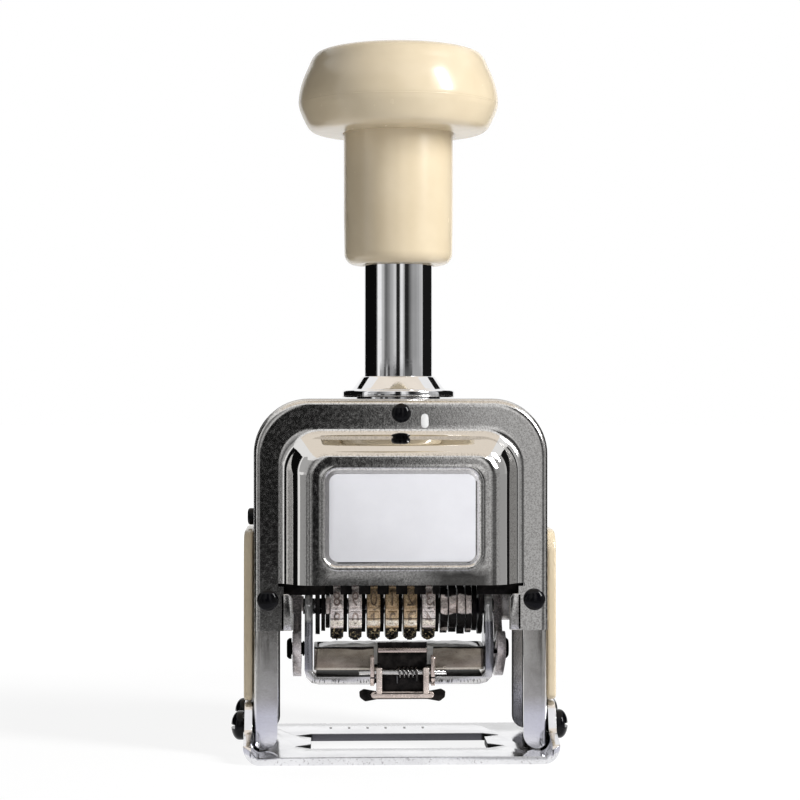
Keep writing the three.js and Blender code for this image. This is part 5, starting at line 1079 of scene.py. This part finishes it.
def make_lever():
    back, sheet, centre = -5.65, 0.6, 0.65
    left, right = centre - 5.5, centre + 5.5

    def shifted(rows, steps):
        return rounded_path([(centre + x, v, r) for x, v, r in mirrored(rows)], steps)

    parts = [
        rounded_edges(block(left, right, back - sheet, back, 12.0, 24.3), 0.12, 2),
        rounded_edges(block(left, right, back - sheet - 1.3, back - sheet / 2, 22.1, 23.2), 0.25, 3)]
    cheek = rounded_path([
        (back, 12.0, 0), (back, 19.4, 0), (-9.2, 19.4, 1.2), (-9.2, 15.5, 1.2), (-7.0, 12.0, 0)])
    rubbed = []
    for x in (left, right - sheet):
        plate = prism(cheek, "x", x, x + sheet)
        carve(plate, rod(0.65, x - 1, x + 2, at=CLIP_PIN))
        parts.append(rounded_edges(plate, 0.12, 2))
        roll = block(x + sheet / 2 - 0.65, x + sheet / 2 + 0.65, -9.35, -8.85, 13.2, 19.0)
        rubbed.append(rounded_edges(roll, 0.2, 2))
    wings = shifted([
        (5.5, 13.5, 1.0), (8.6, 14.05, 0.5), (9.6, 13.5, 0.4), (9.5, 12.2, 0.8), (8.3, 11.25, 0.8),
        (5.6, 11.75, 1.0)], 6)
    parts.append(rounded_edges(prism(wings, "y", -7.3, -6.6), 0.18, 2))
    shelf = shifted([(9.2, -6.9, 0), (9.2, -3.6, 1.5)], 8)
    parts.append(rounded_edges(prism(shelf, "z", 11.75, 12.5), 0.2, 2))
    bar = capsule_points((centre - 6.3, 12.75), (centre + 6.3, 12.75), 0.74, 10)
    rubbed.append(rounded_edges(prism(bar, "y", -7.6, -7.2), 0.15, 2))
    slit = prism(capsule_points((centre - 6.1, 13.12), (centre + 6.1, 13.12), 0.12, 8), "y", -7.65, -7.53)
    lever = gather(*(paint(part, "clip") for part in parts))
    gather(lever, *(paint(part, "rubbed") for part in rubbed), paint(slit, "clip"))
    dress(lever, "clip_lever", "black_steel", None, "clip_lever", name="bent_clip_lever")


make_lever()

COIL_RADIUS = 1.15
coil = coil_points("x", CLIP_PIN, COIL_RADIUS, -0.5, 3.775, 4.5)
front_leg = (-0.5, CLIP_PIN[0] + COIL_RADIUS, CLIP_PIN[1] - 2.6)
rear_leg = (*coil[-1][:2], coil[-1][2] - 1.8)
clip_coil = smooth(tube("wound_clip_spring", [front_leg, *coil, rear_leg], 0.27), 60)
dress(clip_coil, "pad_carriage", "bright_steel", "spring", "clip_spring")


# Stage: floor, cards that metal reflects, lamps, world and camera

NEAR_REACH, MID_REACH, WALL_REACH = 0.2, 0.4, 0.9
WALL_FOOT, WALL_TOP = 0.1, 0.75
CARD_LIFT = 0.0006
DIFFUSE_SKY = 0.205
MIDDLE = (0, 0, 0.07)
CAMERA_PLACE = Vector((-0.0167, -0.4779, 0.0783))


def staged(name, points, faces, material):
    mesh = bpy.data.meshes.new(name)
    mesh.from_pydata(points, [], faces)
    mesh.materials.append(material)
    made = link_new(name, mesh)
    return made


def floor_material():
    """Lights the object as a pale floor; shows white further off and keeps the shadow near by."""
    g = Graph("floor_white")
    reach = g.add("VectorMath", Vector=g.place())
    reach.operation = "LENGTH"
    glow = g.add("Emission", Color=(1, 1, 1, 1), Strength=g.span(reach.outputs["Value"], 0.12, 0.4, 0.86, 1.0))
    add, mix = g.new("AddShader"), g.new("MixShader")
    for node, key, value in (
        (add, 0, g.add("BsdfDiffuse", Color=(0.18, 0.18, 0.18, 1)).outputs[0]), (add, 1, glow.outputs[0]),
        (mix, 0, g.looked_at()), (mix, 1, g.add("BsdfDiffuse", Color=(0.8, 0.8, 0.8, 1)).outputs[0]),
        (mix, 2, add.outputs[0]),
    ):
        g.put(node, key, value)
    return g.only(mix.outputs[0])


staged("floor", [(-6, -6, 0), (6, -6, 0), (6, 6, 0), (-6, 6, 0)], [(0, 1, 2, 3)], floor_material())


def card(name, rows, colour):
    """A card that only reflections see, drawn between rows of points."""
    width = len(rows[0])
    faces = [
        (r * width + i, r * width + i + 1, (r + 1) * width + i + 1, (r + 1) * width + i)
        for r in range(len(rows) - 1) for i in range(width - 1)]
    g = Graph(name)
    glow = g.add("Emission", Color=(*colour, 1), Strength=1.0)
    panel = staged(name, [point for row in rows for point in row], faces, g.only(glow.outputs[0]))
    panel.visible_camera = False
    panel.visible_diffuse = False
    panel.visible_shadow = False


def sector(name, start, end, colour, *rings):
    """A card between two bearings, in degrees to the right of the front, through rings of (radius, height)."""
    count = max(2, round((end - start) / 4))
    bearings = [math.radians(start + (end - start) * i / count) for i in range(count + 1)]
    rows = [[(r * math.sin(a), -r * math.cos(a), z) for a in bearings] for r, z in rings]
    card(name, rows, colour)


# The bearing to which each level of the walls goes, from the first one on, with an open white rear
WALLS = (
    (-152, 0), (-80, 0.004), (-76, 0.3), (-67, 1.0), (-52, 0.5), (-47, 0.35), (-40, 0.15), (-35, 0.2),
    (-30, 0.28), (-25, 0.38), (-20, 0.46), (-15, 0.58), (-10, 0.7), (-8, 0.4), (2, 0.02), (4.5, 0.3), (13, 0.9),
    (17.5, 0.6), (20, 0.25), (31, 0.02), (35, 0.06), (40, 0.15), (46, 0.28), (62, 0.36), (72, 0.42), (80, 0.52),
    (88, 0.6), (150, 0.01))
# The same for the ground that the lower parts reflect, from 0.2 m out to the walls and up their foot
GROUND = (
    (-152, 0), (-80, 0.004), (-76, 0.3), (-67, 1.0), (-52, 0.36), (-44, 0.08), (-38, 0.5), (-30, 0.05),
    (-18, 0.3), (-12, 0.12), (1, 0.01), (4, 0.1), (14, 0.55), (20, 0.3), (46, 0.12), (80, 0.4), (88, 0.5),
    (150, 0.01))
for i, ((start, _), (end, level)) in enumerate(zip(WALLS, WALLS[1:])):
    sector(f"wall_{i}", start, end, (level,) * 3, (WALL_REACH, WALL_FOOT), (WALL_REACH, WALL_TOP))
for i, ((start, _), (end, level)) in enumerate(zip(GROUND, GROUND[1:])):
    sector(
        f"ground_{i}", start, end, (level,) * 3, (MID_REACH, CARD_LIFT), (WALL_REACH, CARD_LIFT),
        (WALL_REACH, WALL_FOOT))
    if -20 < start < 50:
        level = max(level, 0.08)
    sector(f"mid_ground_{i}", start, end, (level,) * 3, (NEAR_REACH, CARD_LIFT), (MID_REACH, CARD_LIFT))
# The bright left stripe of the tube, which the cover's corner hardly sees
for name, start, end, level in (("tube_glint", -67, -60, 1.0), ("tube_glint_edge", -60, -52, 0.6)):
    sector(name, start, end, (level,) * 3, (0.89, WALL_FOOT), (0.89, 0.18))
sector("low_ground", -80, 88, (0.34, 0.34, 0.34), (0.11, CARD_LIFT), (NEAR_REACH, CARD_LIFT))
sector("near_ground", -80, 88, (0.68, 0.68, 0.75), (0.05, CARD_LIFT), (0.11, CARD_LIFT))
card("overhead", [[(-0.5, y, 0.8), (0.5, y, 0.8)] for y in (-0.5, 0.6)], (0.96, 0.87, 0.76))


def aimed(name, data, place, aim):
    made = link_new(name, data)
    made.location = place
    made.rotation_mode = "QUATERNION"
    made.rotation_quaternion = (Vector(place) - Vector(aim)).to_track_quat("Z", "Y")
    return made


for name, place, aim, width, height, power in (
    ("key", (0.6, -0.42, 0.5), MIDDLE, 0.17, 0.46, 7.6),
    ("fill", (-0.65, -0.4, 0.4), MIDDLE, 0.4, 0.5, 0.04),
    ("low_front", (-0.12, -0.9, 0.03), (0, 0, 0.04), 0.6, 0.3, 1.4),
    ("rear", (-0.3, 0.95, 0.45), MIDDLE, 0.8, 0.6, 2.4),
):
    light = bpy.data.lights.new(name, "AREA")
    light.shape = "RECTANGLE"
    light.size = width
    light.size_y = height
    light.energy = power
    aimed(name, light, place, aim).visible_glossy = name == "key"

scene = bpy.context.scene
scene.world = bpy.data.worlds.new("studio")
sky = Graph("studio", scene.world)
background = sky.tree.nodes["Background"]
sky.put(background, "Color", (1, 1, 1, 1))
sky.put(background, "Strength", sky.span(sky.looked_at(), 0, 1, DIFFUSE_SKY, 1.0))

lens = bpy.data.cameras.new("camera")
lens.sensor_width = 36.0
lens.lens = 95.3
lens.clip_start = 0.01
lens.clip_end = 50.0
lens.shift_x = 0.0021
scene.camera = aimed("camera", lens, CAMERA_PLACE, (0, 0, CAMERA_PLACE.z))
scene.view_settings.view_transform = "Standard"
